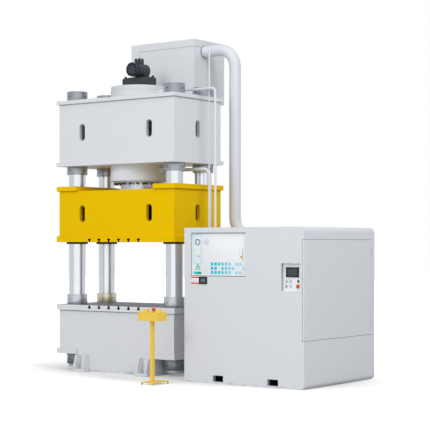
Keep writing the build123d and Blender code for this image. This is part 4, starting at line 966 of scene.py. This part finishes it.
# meter with its label: two rules, a dark window and two seven-segment figures
meter = {
    "label": (1.653, 1.789), "levels": (1.357, 1.458), "front": -0.8755,
    "rules": (1.655, 1.787), "rule": 0.017, "ruleEdge": 0.002, "proud": 0.0005,
    "window": (1.808, 1.913), "windowLevels": (1.374, 1.441), "glass": -0.8795,
    "digits": [(1.838, "1101101"), (1.868, "1111011")], "foot": 1.387, "width": 0.020, "height": 0.042,
    "segment": 0.005,
}
hangOn(addPlate("meterLabel", meter["label"], meter["levels"], meter["front"], 0.0016, 0.004, soften=0.0004),
       "labelWhite")
low, high, edge, rule = *meter["levels"], meter["ruleEdge"], meter["rule"]
hangOn(joinUp([addPlate("meterRules", meter["rules"], levels, meter["front"] - meter["proud"], 0.0006)
               for levels in ((low + edge, low + edge + rule), (high - edge - rule, high - edge))]), "inkRed")
hangOn(addPlate("meterGlass", meter["window"], meter["windowLevels"], meter["glass"], 0.0015, 0.004, soften=0.0004),
       "screen_glass", "frame")


def makeDigit(left, lit):  # segments: top, upper left, upper right, middle, lower left, lower right, bottom
    right, bar, low = left + meter["width"], meter["segment"], meter["foot"]
    middle, top = low + meter["height"] / 2, low + meter["height"]
    whole, leftBar, rightBar = (left, right), (left, left + bar), (right - bar, right)
    shapes = [(whole, (top - bar, top)), (leftBar, (middle, top)), (rightBar, (middle, top)),
              (whole, (middle - bar / 2, middle + bar / 2)), (leftBar, (low, middle)), (rightBar, (low, middle)),
              (whole, (low, low + bar))]
    return [addPlate("meterDigits", span, levels, meter["glass"] - 0.0006, 0.0007, 0.0015, turns=2)
            for state, (span, levels) in zip(lit, shapes) if state == "1"]


hangOn(joinUp([segment for left, lit in meter["digits"] for segment in makeDigit(left, lit)]), "digitGlow")

# control panel in its recess: screen bezel, button rims set off as painted shadows, lamps, the stop's ring and cap, the
# selector's disc and mark; depths are from front to back
controls = {
    "screen": ((3.201, 3.397), (1.472, 1.602)), "bezelFront": -0.847, "bezelThick": 0.0155, "bezelWidth": 0.019,
    "rims": [(3.198, 1.418), (3.261, 1.418), (3.198, 1.351), (3.261, 1.351)],
    "rimSize": (0.0141, 0.0182), "rimDepths": (-0.8357, -0.8310), "shadowShift": 0.0012,
    "lamps": [(3.324, 1.418), (3.324, 1.351)], "lampRadius": 0.009, "lampDepths": (-0.8355, -0.8305),
    "stop": (3.382, 1.351), "stopRing": (0.0205, 0.030), "ringDepths": (-0.8335, -0.8308),
    "capRadius": 0.02, "capDepths": (-0.8535, -0.8373),
    "selector": (3.387, 1.418), "discRadius": 0.0172, "discDepths": (-0.8350, -0.8311),
    "mark": ((3.3861, 3.3879), (1.419, 1.4295), -0.8478, 0.0008),
}
hangOn(addPlate("screenBezel", *controls["screen"], controls["bezelFront"], controls["bezelThick"], 0.008,
                rim=controls["bezelWidth"], soften=0.002), "screenBezel")
# the rims sit shifted down and to the right, so their grey shows as a painted shadow crescent by each button
rimX, rimZ = controls["rims"][0]
rims = addRing("buttonRimsAndShadows", *controls["rimSize"], *controls["rimDepths"],
               (rimX + controls["shadowShift"], rimZ - controls["shadowShift"]), "Y", chamfer=0.0008, steps=40)
hangOn(repeatAt(rims, controls["rims"], upright=True), "sealGrey")
lamps = addRound("panelLamps", controls["lampRadius"], *controls["lampDepths"], controls["lamps"][0], "Y", 32,
                 soften=0.0025, steps=4)
hangOn(repeatAt(lamps, controls["lamps"], upright=True), "lampWhite")
ring = addRing("stopRing", *controls["stopRing"], *controls["ringDepths"], controls["stop"], "Y", chamfer=0.001, steps=48)
hangOn(ring, "stopYellow")
cap = addRound("stopCapPanel", controls["capRadius"], *controls["capDepths"], controls["stop"], "Y", soften=0.005, steps=5)
hangOn(cap, "stop_red", "panel_stop")
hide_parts("panel_stop")
disc = addRound("selectorDisc", controls["discRadius"], *controls["discDepths"], controls["selector"], "Y", soften=0.001)
hangOn(disc, "button_black", "selector")
hangOn(addPlate("selectorMark", *controls["mark"]), "labelWhite", "selector")
print("meter and control panel made")

# pedestal: rolled rims on the guards, domed palm buttons, collar, head and neck of its stop;
# a ring is bore, radius, low, high and a bar is radius, low, high
pedestal = {
    "guards": [(1.301, -1.422), (1.513, -1.422)], "guardRim": (0.0380, 0.0445, 1.010, 1.017),
    "domes": {"palmDomeLeft": "palm_left", "palmDomeRight": "palm_right"}, "dome": (0.030, 0.9883, 1.0023),
    "stop": (1.407, -1.394), "collar": (0.0155, 0.029, 0.9798, 0.9915), "drawnFrom": 0.022, "drawnTo": 0.78,
    "head": (0.0275, 0.9983, 1.0343), "neck": (0.0141, 0.9863, 0.9990),
}
guardRims = addRing("guardRims", *pedestal["guardRim"], pedestal["guards"][0], chamfer=0.0025, steps=56)
hangOn(repeatAt(guardRims, pedestal["guards"]), "pedestal_paint", "frame")
for (palmName, body), place in zip(pedestal["domes"].items(), pedestal["guards"]):
    dome = addRound(palmName, *pedestal["dome"], place, sides=56, soften=0.006, steps=6)
    hangOn(dome, "palm_yellow", body)
    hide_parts(body)
collar = addRing("stopCollar", *pedestal["collar"], pedestal["stop"], chamfer=0.001, steps=48)
drawIn(collar, pedestal["collar"][3], pedestal["stop"], pedestal["drawnFrom"], pedestal["drawnTo"])
hangOn(collar, "stopYellow")
head = addRound("stopHeadPedestal", *pedestal["head"], pedestal["stop"], sides=56, soften=0.004, steps=4)
stopHead = joinUp([head, addRound("stopNeck", *pedestal["neck"], pedestal["stop"], sides=32, soften=0.001)])
hangOn(stopHead, "stop_red", "pedestal_stop")
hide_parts("pedestal_stop")
print("pedestal dressed")
